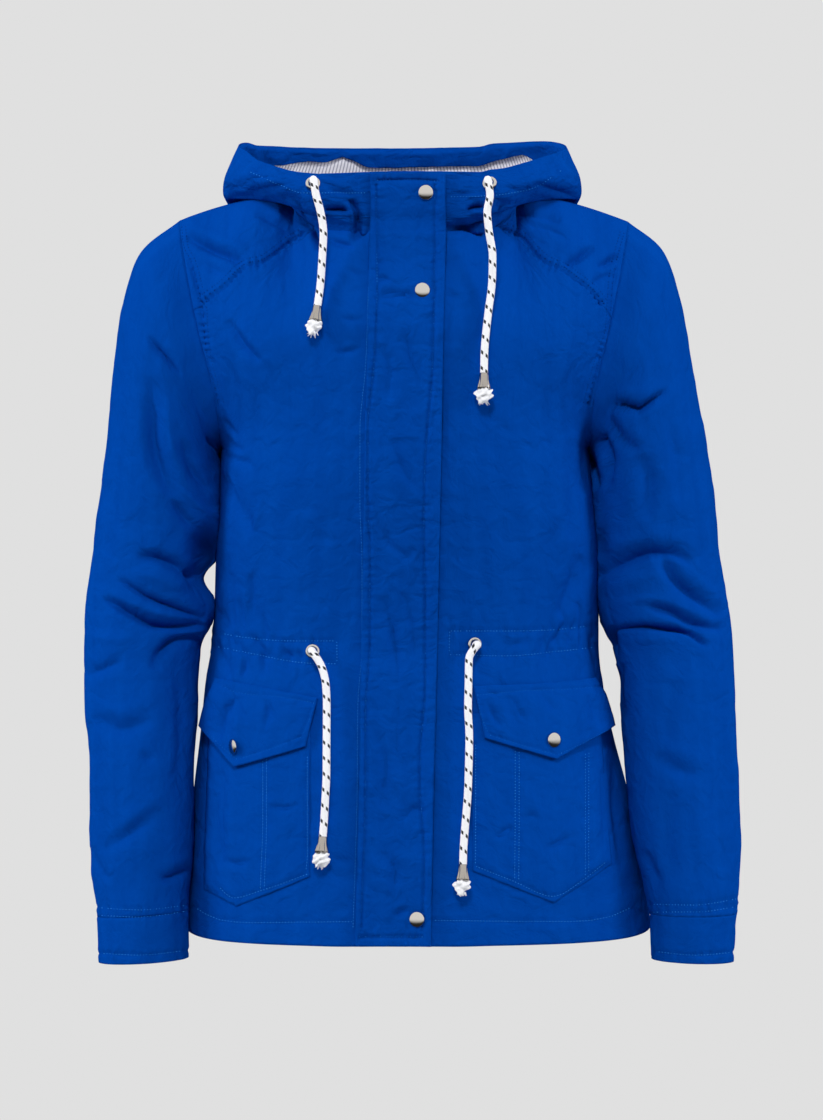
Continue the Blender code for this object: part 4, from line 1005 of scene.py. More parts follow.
def sleeveGrid(side, rows):
    sign = np.array([sides[side], 1.0, 1.0])
    ring, lowest = armhole(side)
    ring = ring * sign
    shape = sleeveTable[side]
    outer = stack(shape["outerX"], shape["middle"], shape["outerZ"])
    inner = stack(shape["innerX"], shape["middle"], shape["innerZ"])
    axis, middle = (ring[0] - ring[lowest]) / 2, (ring[0] + ring[lowest]) / 2
    around = np.arccos(np.clip((ring - middle) @ axis / (axis @ axis), -1, 1))
    around[lowest:] = 2 * math.pi - around[lowest:]
    around[-1] = 2 * math.pi
    rings = (outer + inner)[:, None] / 2 + (outer - inner)[:, None] / 2 * np.cos(around)[None, :, None]
    rings[..., 1] += shape["halfDepth"][:, None] * -np.sin(around)
    rings = np.concatenate([ring[None], rings])
    keys = lengthsAlong(rings.mean(axis=1))
    keys /= keys[-1]
    points = np.empty((len(rows), len(around), 3))
    for column in range(len(around)):
        for part in range(3):
            points[:, column, part] = through(keys, rings[:, column, part], rows)
    # behind the body's side the sleeve turns in, so that no light falls between them
    inward = 2 * np.clip(-np.cos(around), 0, 1) * np.clip(-np.sin(around), 0, 1)
    end = sleeveLook["nestleEnd"][side]
    window = smoothStep(-0.19, -0.215, points[..., 2]) * (1 - smoothStep(end, end - 0.03, points[..., 2]))
    points[..., 0] -= sleeveLook["nestle"] * inward * window
    return points * sign


def addSleeves():
    for side in sides:
        steps = zip(sleeveLook["spans"], sleeveLook["spans"][1:], sleeveLook["rows"])
        rows = np.concatenate([np.linspace(start, end, count, endpoint=False) for start, end, count in steps] + [[1.0]])
        seam = sum(sleeveLook["rows"][:-1])
        points = sleeveGrid(side, rows)
        if side == "right":  # the inner edge draws back from the body above the elbow fold
            px, py = inPicture(points)
            height, half, depth = sleeveLook["notch"]
            points[..., 0] -= depth * np.exp(-(((py - height) / half) ** 2)) * smoothStep(180, 212, px)
        middle = points.mean(axis=1, keepdims=True)
        normal = gridNormals(points, points - middle)
        normal[:, 0] = normal[:, -1] = unit(normal[:, 0] + normal[:, -1])  # one way where the tube closes
        px, py = inPicture(points)
        seen = smoothStep(0.3, -0.3, normal[..., 1])
        folds = []
        for half, depth, *rest in sleeveCreases[side]:
            folds.append((half, depth * sleeveLook["troughs" if depth < 0 else "ridges"], *rest))
        near, far = creaseField(px, py, folds), 0.6 * creaseField(px, py + 16, folds)  # alike on the hidden side
        fade = smoothStep(0.02, 0.08, rows)[:, None]
        field = near * seen + far * (1 - seen) + seamField(px, py, sewnAs(cuffRows[side], cuffSewing))
        field = (field + crumple(px, py, *sleeveLook["crumple"]) + crisp(px, py, *sleeveLook["crisp"])) * fade
        points = points + normal * field[..., None]
        for x, y, halfX, halfY, depth in sleeveHollows[side]:
            away = ((px - x) / halfX) ** 2 + ((py - y) / halfY) ** 2
            points[..., 1] += depth * mm * np.exp(-(away**1.6)) * seen * fade
        sign = np.array([sides[side], 1.0, 1.0])
        points = clearOfBody(side, points * sign) * sign
        clothPiece(f"sleeve_{side}", points[: seam + 1], tube=True)
        clothPiece(f"cuff_{side}", points[seam:], tube=True)


addFronts()
addYokes()
addBack()
print("body panels ready")
addSleeves()
print("sleeves ready")

flapLook = {
    "width": 64 * mm,
    "lift": 2.1 * mm,
    "free": 2.4 * mm,
    "columns": 44,
    "rows": 250,
    "hoodRows": 44,
    "crumple": (0.7, 20),
    "crisp": (0.8, 22, 24),
    "folds": 2.0,
    "flat": (0.066, 0.67),
}
flapCreases = [
    (4.5, -1.4, 0, 378, 299, 402, 295, 417, 299), (4, -0.9, 0, 377, 284, 384, 281, 392, 281),
    (4, -1.0, 0, 392, 916, 400, 912, 410, 908), (6, -0.9, 0, 382, 345, 390, 372, 386, 400),
    (6, -0.9, 0, 404, 330, 412, 360, 420, 385), (5, -0.8, 0, 392, 440, 404, 470, 418, 490),
    (5, -0.8, 0, 378, 520, 392, 545, 412, 560), (6, -1.0, 0, 384, 600, 394, 640, 398, 690),
    (6, -0.9, 0, 404, 590, 412, 625, 416, 660), (6, -1.0, 0, 378, 730, 386, 770, 380, 810),
    (6, -0.8, 0, 400, 700, 396, 740, 404, 780), (5, -1.0, 0, 402, 820, 416, 808, 428, 812),
    (6, -0.9, 0, 384, 850, 396, 872, 392, 900),
]
flapRows = {
    "left": [(376, 184), (377, 278), (371, 396), (368, 420), (368, 500), (370, 560), (370, 650), (366, 700), (365, 800),
        (361, 930)],
    "right": [(435, 184), (434, 314), (430.6, 396), (428, 420), (424, 522), (425.5, 598), (425, 700), (420, 751),
        (420, 788), (425, 850), (423, 930)],
    "top": [(376, 180.5), (408, 180), (440, 181.5)],
    "bottom": [(358, 936.5), (390, 937), (424, 937)],
}
flapSewing = {"groove": 2.2, "pucker": 0.7, "wave": 8, "reach": 7, "half": 1.6}
flapSeams = sewnAs(flapRows.values(), flapSewing)
hoodStand = table(
    "angle x y z",
    [(0, 0, -86, -15), (40, 67, -75, -12), (65, 98, -45, 4), (95, 117, 3, 30), (130, 90, 64, 40), (180, 0, 94, 38)],
)
hoodUnder = table(
    "angle x y z",
    [
        (0, 0, -89, -8), (40, 76, -86, -4), (65, 113, -50, 8), (95, 154, 10, 14), (130, 119, 97, -38), (155, 72, 127, -96),
        (180, 0, 137, -122),
    ],
)
hoodOuter = table(
    "angle x y z",
    [
        (0, 0, -95, 9), (40, 82, -97, 12), (65, 125, -60, 25), (95, 158, 16, 32), (130, 138, 114, 16), (155, 84, 148, -16),
        (180, 0, 164, -30),
    ],
)
hoodRim = table(
    "angle x y z",
    [(0, 0, -100, 27), (40, 75, -95, 26), (65, 112, -60, 37), (95, 146, 30, 61), (130, 116, 91, 71), (180, 0, 120, 72)],
)
hoodLook = {
    "width": {"right": 1.01, "left": 0.98},
    "shares": (0.0, 0.12, 0.42, 0.67, 1.0),
    "columns": 140,
    "rows": 100,
    "flat": (0.36, 0.28),
    "area": 0.068,
    "liningStep": 3.6 * mm,
    "tuckShare": 0.05,
    "tuckIn": 1.5,
    "tuckSides": 4.5,
    "tuckDown": 6 * mm,
    "crumple": (0.9, 80),
    "crisp": (1.5, 19, 82),
    "folds": 1.4,
    "facingFlat": (0.64, 0.034),
    "facingArea": 0.0145,
    "liningFlat": (0.62, 0.26),
    "liningArea": 0.09,
}


# a point of the lowered hood: t runs from the neck seam by the fold and the outermost line to the rim
def hood(side, angle, t):
    angle, t = np.broadcast_arrays(np.asarray(angle, float), np.asarray(t, float))
    fuller = np.array([hoodLook["width"][side], 1.0, 1.0])
    rings = [ringPoint(neckSeam, angle) + np.array([0, 0, 1.3 * mm])]
    rings += [ringPoint(ring, angle) * fuller for ring in (hoodStand, hoodUnder, hoodOuter, hoodRim)]
    shares, last = hoodLook["shares"], len(hoodLook["shares"]) - 1
    ways = []
    for row in range(last + 1):
        low, high = max(row - 1, 0), min(row + 1, last)
        ways.append((rings[high] - rings[low]) / (shares[high] - shares[low]))
    points = np.zeros(t.shape + (3,))
    for row in range(last):
        span = shares[row + 1] - shares[row]
        share = np.clip((t - shares[row]) / span, 0, 1)[..., None]
        part = hermite(rings[row], ways[row] * span, rings[row + 1], ways[row + 1] * span, share)
        inside = (t >= shares[row]) & (t <= shares[row + 1])
        points = np.where(inside[..., None], part, points)
    return points * np.array([sides[side], 1.0, 1.0])


# unit normals of the smooth front and hood, by small steps
def surfaceNormals(surface, u, v, sign):
    step = 1e-4
    way = np.cross(surface(u + step, v) - surface(u - step, v), surface(u, v + step) - surface(u, v - step))
    return unit(way) * sign


def frontNormals(side, u, v):
    u, v = np.clip(u, 2e-4, 1 - 2e-4), np.clip(v, 2e-4, 1.9998)
    return surfaceNormals(lambda a, b: body(side, False, a, b), u, v, sides[side])


def hoodNormals(side, angle, t):
    return surfaceNormals(lambda a, b: hood(side, a, b), angle, np.clip(t, 2e-4, 1 - 2e-4), sides[side])


# how far folds move the hood's cloth and its lining with it
def hoodMove(points, way):
    px, py = inPicture(points)
    facing = np.clip(-1.6 * way[..., 1], 0, 1) + 0.5 * np.clip(1.6 * way[..., 1], 0, 1)
    return wrinkled(px, py, hoodLook, hoodCreases) * facing


liningTop = [(283, 164), (308, 160.5), (327, 161.5), (342, 156.5), (352, 159.5), (368, 167.5), (420, 167), (480, 166.5),
    (492, 165), (523, 158), (537, 165)]


# where the lining's upper edge lies on the inside of the hood's back
def liningEdge(side, angle):
    t = np.linspace(0.55, 0.995, 300)[:, None]
    turn, t = np.broadcast_arrays(np.clip(angle, 1e-3, math.pi - 1e-3), t)
    px, py = inPicture(hood(side, turn, t) - hoodNormals(side, turn, t) * hoodLook["liningStep"])
    aim = np.interp(px, *np.array(liningTop).T)
    return t[np.argmin(abs(py - aim), axis=0), 0][None, :]


# the rim stands up unevenly: picture x and millimetres
rimLift = [(236, 4), (248, 3), (258, 0), (300, -0.5), (380, 0), (440, 0.5), (480, 1), (492, 3.4), (524, 4), (556, 3),
    (572, 1.5), (580, 0)]


def liftedRim(px, t):
    keys, values = zip(*rimLift)
    return through(keys, values, px) * mm * smoothStep(0.72, 1, t)


# the hood comes forward with the neck at its front, and its rim is lifted
def seated(points, px, py, angle, t):
    forward = stoodForward(px, py) * (1 - smoothStep(0, 0.22, t)) + filledNeck(px, py) + neckFolds(px, py)
    points[..., 1] -= forward * (angle < 1.75)
    points[..., 2] += liftedRim(px, t)


def addHood():
    look, edge = hoodLook, 1e-3
    share = np.linspace(0, 1, look["columns"])
    angle = (math.pi * (0.55 * share + 0.45 * share**2))[None, :]  # closer together at the front
    t = np.linspace(0, 1, look["rows"])[:, None]
    for side in sides:
        points = hood(side, angle, t)
        way = hoodNormals(side, np.clip(angle, edge, math.pi - edge) + 0 * t, t + 0 * angle)
        px, py = inPicture(points)
        points = points + way * (hoodMove(points, way) * smoothStep(0, 0.12, t))[..., None]
        seated(points, px, py, angle, t)
        tuck = np.clip(1 - t / look["tuckShare"], 0, 1)
        inward = look["tuckIn"] + look["tuckSides"] * smoothStep(0.8, 1.05, angle)  # the yoke lies further in at the sides
        points = points - (way * (inward * mm)[..., None] + np.array([0, 0, look["tuckDown"]])) * tuck[..., None]
        clothPiece(f"hood_{side}", points, material=crinkled)
        trees[f"hood_{side}"] = surfaceTree(points)
    back, behind = smoothStep(0.3, 2.6, angle), smoothStep(1.5, 1.75, angle)
    pieces = {"facing": [], "lining": []}
    for side in sides:
        seam = (0.62 + (0.95 - 0.62) * back) * (1 - behind) + liningEdge(side, angle) * behind
        low, turn = seam - 0.055 * (1 - back) * (1 - behind) + 0.008 * behind, angle
        if side == "left":
            seam, low, turn = (part[:, ::-1][:, 1:] for part in (seam, low, turn))
        wide, deep = (np.linspace(0, 1, rows)[:, None] for rows in (18, 26))
        for name, spot in (("facing", seam + (1 - seam) * wide), ("lining", 0.12 + (low - 0.12) * deep)):
            outer = name == "facing"
            way = hoodNormals(side, np.clip(turn, edge, math.pi - edge) + 0 * spot, spot)
            front = (1 - smoothStep(0.9, 1.9, turn)) * (1 - smoothStep(0.8, 0.97, spot))
            front = front - 0.5 * smoothStep(0.985, 1, spot) * outer  # the facing meets the rim
            step = look["liningStep"] * (1 + 1.6 * front) - 1.6 * mm * (not outer)
            points = hood(side, turn + 0 * spot, spot) - way * step[..., None]
            px, py = inPicture(points)
            gathers = 1.2 * mm * (hills(px / 8, py / 22, 33) - 1) * outer
            soft = (crumple(px, py, 0.7, 90) + gathers) * (1 - smoothStep(0.95, 1, spot))
            points = points + way * (hoodMove(points, way) + soft)[..., None]
            seated(points, px, py, turn, spot)
            pieces[name].append(points)
    facing, inner = (np.concatenate(pieces[name], axis=1) for name in ("facing", "lining"))
    clothPiece("hood_facing", facing, material=crinkled)
    clothPiece("hood_lining", inner, material=lining)


liningLook = {"ground": (0.97, 0.96, 1.0, 1), "stripe": (0.36, 0.36, 0.45, 1), "pitch": 3.3 * mm, "thin": 3.5, "roughness": 0.8}


def liningMaterial():
    material, nodes, links, shader = newMaterial("lining")
    flat = flatMeasures(nodes)
    wave = nodes.new("ShaderNodeTexWave")
    wave.bands_direction = "X"
    wave.inputs["Scale"].default_value = 0.314 / liningLook["pitch"]
    links.new(flat, wave.inputs["Vector"])
    stripe = valueNode(nodes, links, "POWER", wave.outputs["Fac"], liningLook["thin"])
    links.new(mixColours(nodes, links, stripe, liningLook["ground"], liningLook["stripe"]), shader.inputs["Base Color"])
    shader.inputs["Roughness"].default_value = liningLook["roughness"]
    return material


lining = liningMaterial()
addHood()
print("hood ready")


def addStormFlap():
    offset = flapLook["width"] * np.linspace(-0.5, 0.5, flapLook["columns"])[None, :]
    v = np.concatenate([np.linspace(0, 1, flapLook["rows"]), np.linspace(1, 1.94, 60)[1:]])[:, None]
    t = np.linspace(0.12, 1, flapLook["hoodRows"])[:, None]
    points, way = {}, {}
    for side, sign in sides.items():
        height = body(side, False, np.full_like(v, 0.15), v)[..., 2]
        onBody, onHood = (centreX(height) + offset) * sign, (bodyShape["centreTop"] + offset) * sign + 0 * t
        u = solve(lambda a: body(side, False, a, v + 0 * a)[..., 0] * sign, onBody, 0.0, 0.9)
        angle = solve(lambda a: hood(side, a, t + 0 * a)[..., 0] * sign, onHood, 0.0, 1.2)
        points[side] = (body(side, False, u, v + 0 * u), hood(side, angle, t + 0 * angle))
        way[side] = (frontNormals(side, u, v + 0 * u), hoodNormals(side, angle, t + 0 * angle))
    left = [(offset >= 0)[..., None], (bodyShape["centreTop"] + offset >= 0)[..., None]]
    points, way = (
        np.concatenate([np.where(left[k], part["left"][k], part["right"][k]) for k in (0, 1)]) for part in (points, way)
    )
    bendRows = slice(len(v) - 26, len(v) + 12)  # smoothed over the corner at the neck seam
    for _ in range(40):
        part = points[bendRows]
        part[1:-1] = (part[:-2] + 2 * part[1:-1] + part[2:]) / 4
    px, py = inPicture(points)
    field = wrinkled(px, py, flapLook, flapCreases, flapSeams)
    free = flapLook["free"] * smoothStep(0.25, 0.5, offset / flapLook["width"])  # the loose edge stands off the front
    points = points + way * (flapLook["lift"] + field + free)[..., None]
    points[..., 1] -= filledNeck(px, py)
    clothPiece("storm_flap", points, material=crinkled, wall=1.6 * mm)
    trees["storm_flap"] = surfaceTree(points)


addStormFlap()
print("storm flap ready")

pocketLook = {
    "step": 1.8 * mm,
    "layer": 1.5 * mm,
    "edge": 0.9 * mm,
    "sewn": 0.35,
    "columns": 72,
    "rows": 84,
    "flapRows": 44,
    "crumple": (0.72, 20),
    "crisp": (0.6, 22, 27),
    "folds": 1.7,
    "flat": (0.125, 0.165),
    "flapFlat": (0.115, 0.075),
}
# rows for the edge towards the centre, the point and the outer edge
pocketTable = {
    "right": table("xTop top xBottom bottom lift", [(80, -438, 80, -571, 0), (143, -434, 143, -598, 0.5),
        (168, -430, 172, -586, 2)]),
    "left": table("xTop top xBottom bottom lift", [(57, -434, 57, -566, 0), (126, -434, 126, -594, 0.5),
        (167, -434, 177, -564, 2)]),
}
pocketFlapTable = {
    "right": table("xTop top xBottom bottom lift", [(74, -421, 83, -462, 1), (143, -409, 143, -481, 2), (163, -406, 172, -448, 4)]),
    "left": table("xTop top xBottom bottom lift", [(58, -411, 67, -455, 1), (127, -409, 127, -474, 2), (164, -406, 174, -449, 6)]),
}
pocketRows = {
    "right": [
        [(307.5, 756), (307.5, 866), (306, 872)],
        [(308, 874), (263, 890), (233, 898), (219, 886)],
        [(263, 760), (263, 820), (260.5, 890)],
        [(266.8, 758), (266.8, 820), (264.5, 889)],
    ],
    "left": [
        [(475.5, 744), (475.5, 850), (475, 866)],
        [(475, 866), (513, 881), (553, 896.5), (581, 881), (605, 862)],
        [(515, 750), (515, 810), (514.5, 879)],
        [(519, 751), (519, 810), (518.5, 880)],
        [(585, 753), (585, 815), (585, 876)],
        [(588.4, 752), (588.4, 815), (588.4, 874)],
    ],
}
pocketFlapRows = {
    "right": [
        [(219, 684), (236, 692), (278, 697), (315, 703)],
        [(314, 703), (312, 712), (302, 738)],
        [(302, 737), (274, 748), (238, 760)],
        [(238, 760), (217, 742), (202, 726)],
    ],
    "left": [
        [(476, 695.5), (525, 691), (560, 690), (600, 687)],
        [(478, 698), (479, 708), (488, 734)],
        [(489, 735), (520, 745), (555, 755)],
        [(557, 755), (590, 739), (612, 727)],
    ],
}
pocketCreases = [
    (4, -1.2, 0, 270, 806, 285, 809, 300, 804), (4, -1.2, 0, 225, 860, 238, 864, 252, 860),
    (5, -1.8, 0, 224, 770, 221, 820, 224, 870), (6, 1.0, 0, 236, 775, 233, 830, 238, 880),
    (5, -2.4, 0, 232, 700, 226, 720, 222, 742), (7, 2.8, 0, 244, 700, 243, 724, 240, 750),
    (4, -1.3, 0, 239, 697, 244, 711, 250, 725), (4, -0.8, 0, 268, 700, 271, 712, 276, 722),
    (4, -1.3, 0, 493, 838, 503, 834, 512, 826), (4, -1.2, 0, 546, 848, 556, 845, 566, 836),
    (4, -0.8, 0, 520, 822, 528, 816, 538, 816), (4, -1.1, 0, 486, 700, 492, 716, 500, 728),
    (5, -0.9, 0, 505, 696, 512, 714, 520, 730), (5, -1.0, 0, 583, 696, 588, 712, 594, 730),
    (5, -1.4, 0, 600, 770, 603, 810, 602, 850), (3, -1.4, 0, 236, 694, 234, 707, 231, 720),
    (3, -0.9, 0, 271, 706, 268, 722, 266, 738), (3, -1.0, 0, 512, 697, 517, 710, 526, 726),
    (3, -0.8, 0, 540, 694, 546, 704, 553, 712),
]


# points of a pocket or its flap, off the front by one layer at its top and another below
def patch(side, outline, layers, rows, sewn):
    columns = pocketLook["columns"]
    middle = (outline["top"] + outline["bottom"]) / 2
    ends, _ = frontPlace(side, (outline["xTop"] + outline["xBottom"]) / 2, middle)
    key = np.linspace(ends[0], ends[-1], columns)
    key[np.argmin(abs(key - ends[1]))] = ends[1]
    line = {name: np.interp(key, ends, values) for name, values in outline.items()}
    share = np.linspace(0, 1, rows)[:, None]
    height = line["bottom"] + (line["top"] - line["bottom"]) * share
    across = line["xBottom"] + (line["xTop"] - line["xBottom"]) * share
    rise = np.clip((1 - share) / pocketLook["sewn"], 0, 1)
    off = layers[0] + (layers[1] - layers[0]) * rise + line["lift"] * np.sin(math.pi / 2 * (1 - share))
    if layers[0] == layers[1]:
        inward = np.minimum(np.linspace(0, 1, columns), np.linspace(1, 0, columns))
        off = pocketLook["edge"] + (off - pocketLook["edge"]) * smoothStep(0, 1, np.minimum(inward * 14, share * 18))
    u, v = frontPlace(side, across, height)
    way = frontNormals(side, u, v)
    points = body(side, False, u, v)
    px, py = inPicture(points)
    field = wrinkled(px, py, pocketLook, pocketCreases, sewnAs(sewn, {**topSewing, "half": 1.8}))
    return points + way * (off + field)[..., None]


def addPockets():
    step, layer = pocketLook["step"], pocketLook["layer"]
    for side in sides:
        points = patch(side, pocketTable[side], (step, step), pocketLook["rows"], pocketRows[side])
        clothPiece(f"pocket_{side}", points)
        points = patch(side, pocketFlapTable[side], (layer, step + layer), pocketLook["flapRows"], pocketFlapRows[side])
        clothPiece(f"pocket_flap_{side}", points, wall=1.4 * mm)
        trees[f"pocket_flap_{side}"] = surfaceTree(points)


addPockets()
print("pockets ready")

sewnRows = list(flapRows.values()) + [beside(flapRows["left"][1:], 8)] + casingEnds + list(hemRows.values())
sewnRows += allRows(casingRows, cuffRows, pocketRows, pocketFlapRows)
sewnRows += [[(250, 172), (283, 186), (302, 193), (366, 193)]]  # the hood's front band
sewnRows += [[(450, 197), (484, 196), (505, 194), (535, 187), (562, 170)]]
seamRows = [beside(row, by) for row in yokeRows.values() for by in (-2.5, -6.5)]
seamRows += [beside(armholeRows[side], by * sign) for side, sign in sides.items() for by in (3, 7)]
behindRows = allRows(backRows, cuffRows)


def addSewing():
    tree = surfaceTree(*cloth)
    sew("stitches", tree, sewnRows)
    # the yoke and armhole stitches take the darker thread, painted shade of the puckered seam grooves
    sew("shadedSeamStitches", tree, seamRows, yarn=shadedSeamThread)
    sew("stitchesBehind", tree, behindRows, behind=True)


addSewing()
print("sewing ready")

metalLook = {
    "nickel": {"dark": (0.66, 0.64, 0.60, 1), "light": (0.80, 0.78, 0.75, 1), "roughness": 0.16},
    "dullNickel": {"dark": (0.36, 0.33, 0.30, 1), "light": (0.66, 0.63, 0.59, 1), "roughness": 0.22},
    "grain": 220,
}


def metalMaterial(name):
    look = metalLook[name]
    material, shader = mottled(name, metalLook["grain"], look["dark"], look["light"], look["roughness"], 4)
    shader.inputs["Metallic"].default_value = 1.0
    return material


nickel, dullNickel = metalMaterial("nickel"), metalMaterial("dullNickel")


# a turned piece: radius and height pairs in millimetres, stood on a place along a way
def turned(node, profile, place, way, material, steps=40, fluted=None):
    turn = np.linspace(0, 2 * math.pi, steps + 1)
    radius, height = (np.array(part)[:, None] * mm for part in zip(*profile))
    swell = 1 if fluted is None else 1 + fluted(height) * np.cos(turn * 10)
    points = stack(radius * swell * np.cos(turn), radius * swell * np.sin(turn), height + 0 * turn)
    basis = np.array(Vector(way).to_track_quat("Z", "Y").to_matrix())
    piece = gridPiece(node + "Trim", points @ basis.T + np.array(place), material, wall=None, tube=True)
    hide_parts(node)
    return piece


snapLook = {
    "profile": [
        (0.01, 2.7), (1.5, 2.65), (3.0, 2.47), (4.4, 2.15), (5.6, 1.75), (6.3, 1.3), (6.6, 0.8), (6.6, 0.2), (6.0, -0.3),
        (0.01, -0.3),
    ],
    "seat": 0.9,
    "level": 0.35,  # how much of the cloth's slope its axis keeps
    "outward": {"snap_pocket_right": 1.7},
}
snapSpots = {
    "snap_top": ("storm_flap", 425.8, 192.7),
    "snap_chest": ("storm_flap", 422.3, 290.4),
    "snap_hem": ("storm_flap", 417, 919.4),
    "snap_pocket_right": ("pocket_flap_right", 234, 746.6),
    "snap_pocket_left": ("pocket_flap_left", 553.5, 740),
}


def addSnaps():
    for name, (target, px, py) in snapSpots.items():
        place, way = seenAt(trees[target], px, py)
        way = unit(way * np.array([snapLook["outward"].get(name, 1), 1, snapLook["level"]]))
        turned(name, snapLook["profile"], place + way * snapLook["seat"] * mm, way, nickel)


addSnaps()

eyeletSpots = {
    "hood_right": ("hood_right", 313, 183.7),
    "hood_left": ("hood_left", 489.5, 183.5),
    "waist_right": ("front_right", 312.8, 651.3),
    "waist_left": ("front_left", 474.5, 644.3),
}
# cord routes below their eyelets: x, z as they hang, and how far the middle stands off the cloth
cordRoutes = {
    "hood_right": table("x z off", [(-75.5, 7, 6), (-71.5, -8, 6), (-69, -27, 6), (-70, -47, 6), (-71.5, -69, 8), (-74, -89, 10)]),
    "hood_left": table("x z off", [(72.3, 6, 6), (70, -8, 6), (71.5, -25, 6), (74.5, -46, 6), (74, -68, 6), (70.5, -96, 6),
        (67.5, -126, 7), (67, -146, 8)]),
    "waist_right": table("x z off", [(-71, -393, 10), (-67, -408, 10), (-66, -430, 10), (-66, -455, 11), (-66, -482, 11),
        (-67, -506, 10), (-68, -524, 9), (-69, -537, 9)]),
    "waist_left": table("x z off", [(54.5, -387, 10), (54, -406, 11), (53.5, -430, 12), (54.5, -452, 12), (54, -476, 12),
        (53, -502, 11), (51, -526, 10), (49.5, -545, 9), (49, -560, 9)]),
}
cordLook = {
    "diameter": 6.4 * mm,
    "length": {"hood_right": 0.115, "hood_left": 0.173, "waist_right": 0.169, "waist_left": 0.195},
    "bell": 13 * mm,
    "knot": 16 * mm,
    "eyelet": [(3.7, -0.4), (3.7, 0.9), (4.2, 1.5), (5.0, 1.7), (5.8, 1.3), (6.4, 0.4), (6.4, -0.4), (3.7, -0.4)],
    "bellProfile": [
        (0.01, 0.6), (3.5, 0.6), (3.9, 0.2), (3.9, -5), (4.2, -7.5), (5.0, -11), (5.4, -13), (4.7, -13), (3.6, -9),
        (0.01, -8),
    ],
}


braidLook = {
    "ground": ((0.72, 0.73, 0.76, 1), (0.92, 0.92, 0.94, 1)),
    "grain": 700,
    "fleck": (0.012, 0.012, 0.016, 1),
    "pitch": 13.2 * mm,
    "width": 0.22,
    "beats": 4.0,
    "shift": 0.2,
    "share": 0.58,
    "roughness": 0.85,
    "sheen": 0.2,
}


def braidMaterial():
    look = braidLook
    material, nodes, links, shader = newMaterial("braid")
    flat, value = flatMeasures(nodes), partial(valueNode, nodes, links)
    split = nodes.new("ShaderNodeSeparateXYZ")
    links.new(flat, split.inputs["Vector"])
    noise = nodes.new("ShaderNodeTexNoise")
    noise.inputs["Scale"].default_value = look["grain"]
    links.new(flat, noise.inputs["Vector"])
    ground = mixColours(nodes, links, noise.outputs["Fac"], *look["ground"])
    # a dark yarn winds round the white braid and shows as flecks
    wind = value("SUBTRACT", value("MULTIPLY", split.outputs["Y"], 1 / look["pitch"]), split.outputs["X"])
    dark = value("LESS_THAN", value("FRACT", wind, 0), look["width"])
    beat = value("FRACT", value("SUBTRACT", value("MULTIPLY", split.outputs["X"], look["beats"]), look["shift"]), 0)
    fleck = value("MULTIPLY", dark, value("LESS_THAN", beat, look["share"]))
    links.new(mixColours(nodes, links, fleck, ground, look["fleck"]), shader.inputs["Base Color"])
    shader.inputs["Roughness"].default_value = look["roughness"]
    shader.inputs["Sheen Weight"].default_value = look["sheen"]
    return material


braid = braidMaterial()


def cordPath(name):
    target, px, py = eyeletSpots[name]
    place, way = seenAt(trees[target], px, py)
    side = "right" if name.endswith("right") else "left"
    route = cordRoutes[name]
    u, v = frontPlace(side, abs(route["x"]), np.minimum(route["z"], neckSeam["z"][0]))
    seat = place + way * 1.2 * mm
    hung = body(side, False, u, v)
    y = np.minimum(hung[..., 1] - filledNeck(*inPicture(hung)) - route["off"], seat[1] - 7 * mm)
    start = [seat + way * (1.4 + reach) * mm for reach in (0.0, 2.0, 4.5)]
    points = np.concatenate([start, stack(route["x"], y, route["z"])])
    keys = lengthsAlong(points)
    fine = np.linspace(0, keys[-1], 200)
    curve = stack(*[through(keys, points[:, part], fine) for part in range(3)])
    return place, way, curve


# rings round a path, with the braid's small bumps
def tubeGrid(path, radius, steps=20):
    way = unit(np.gradient(path, axis=0))
    side = unit(np.cross(way, np.array([0.0, 1.0, 0.0]) + 0 * way))
    up = np.cross(side, way)
    turn = np.linspace(0, 2 * math.pi, steps + 1)
    along = lengthsAlong(path)[:, None]
    swell = radius * (1 + 0.035 * np.cos(4 * turn + along * 900) * np.cos(4 * turn - along * 900))
    aside, above = ((swell * part)[..., None] for part in (np.cos(turn), np.sin(turn)))
    points = path[:, None] + side[:, None] * aside + up[:, None] * above
    return points, np.meshgrid(turn / (2 * math.pi), along[:, 0])


def addCords():
    for name in cordRoutes:
        place, way, curve = cordPath(name)
        turned(f"eyelet_{name}", cordLook["eyelet"], place + way * 0.5 * mm, way, nickel)
        points, uvs = tubeGrid(curve, cordLook["diameter"] / 2)
        cord = gridPiece(f"cord_{name}Braid", points, braid, wall=None, tube=True, uvs=uvs)
        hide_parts(f"cord_{name}")
        down = unit(curve[-1] - curve[-8])
        bell = addBell(name, curve[-1], down)
        knot = addKnot(name, curve[-1] + down * (cordLook["bell"] - 2 * mm), down)
        tuple(place)
        print("cord", name, "length", round(float(lengthsAlong(curve)[-1]), 4))


def addBell(name, head, down):
    fluted = lambda height: 0.12 * smoothStep(-2 * mm, -9 * mm, height)
    return turned(f"bell_{name}", cordLook["bellProfile"], head, -down, dullNickel, 60, fluted)


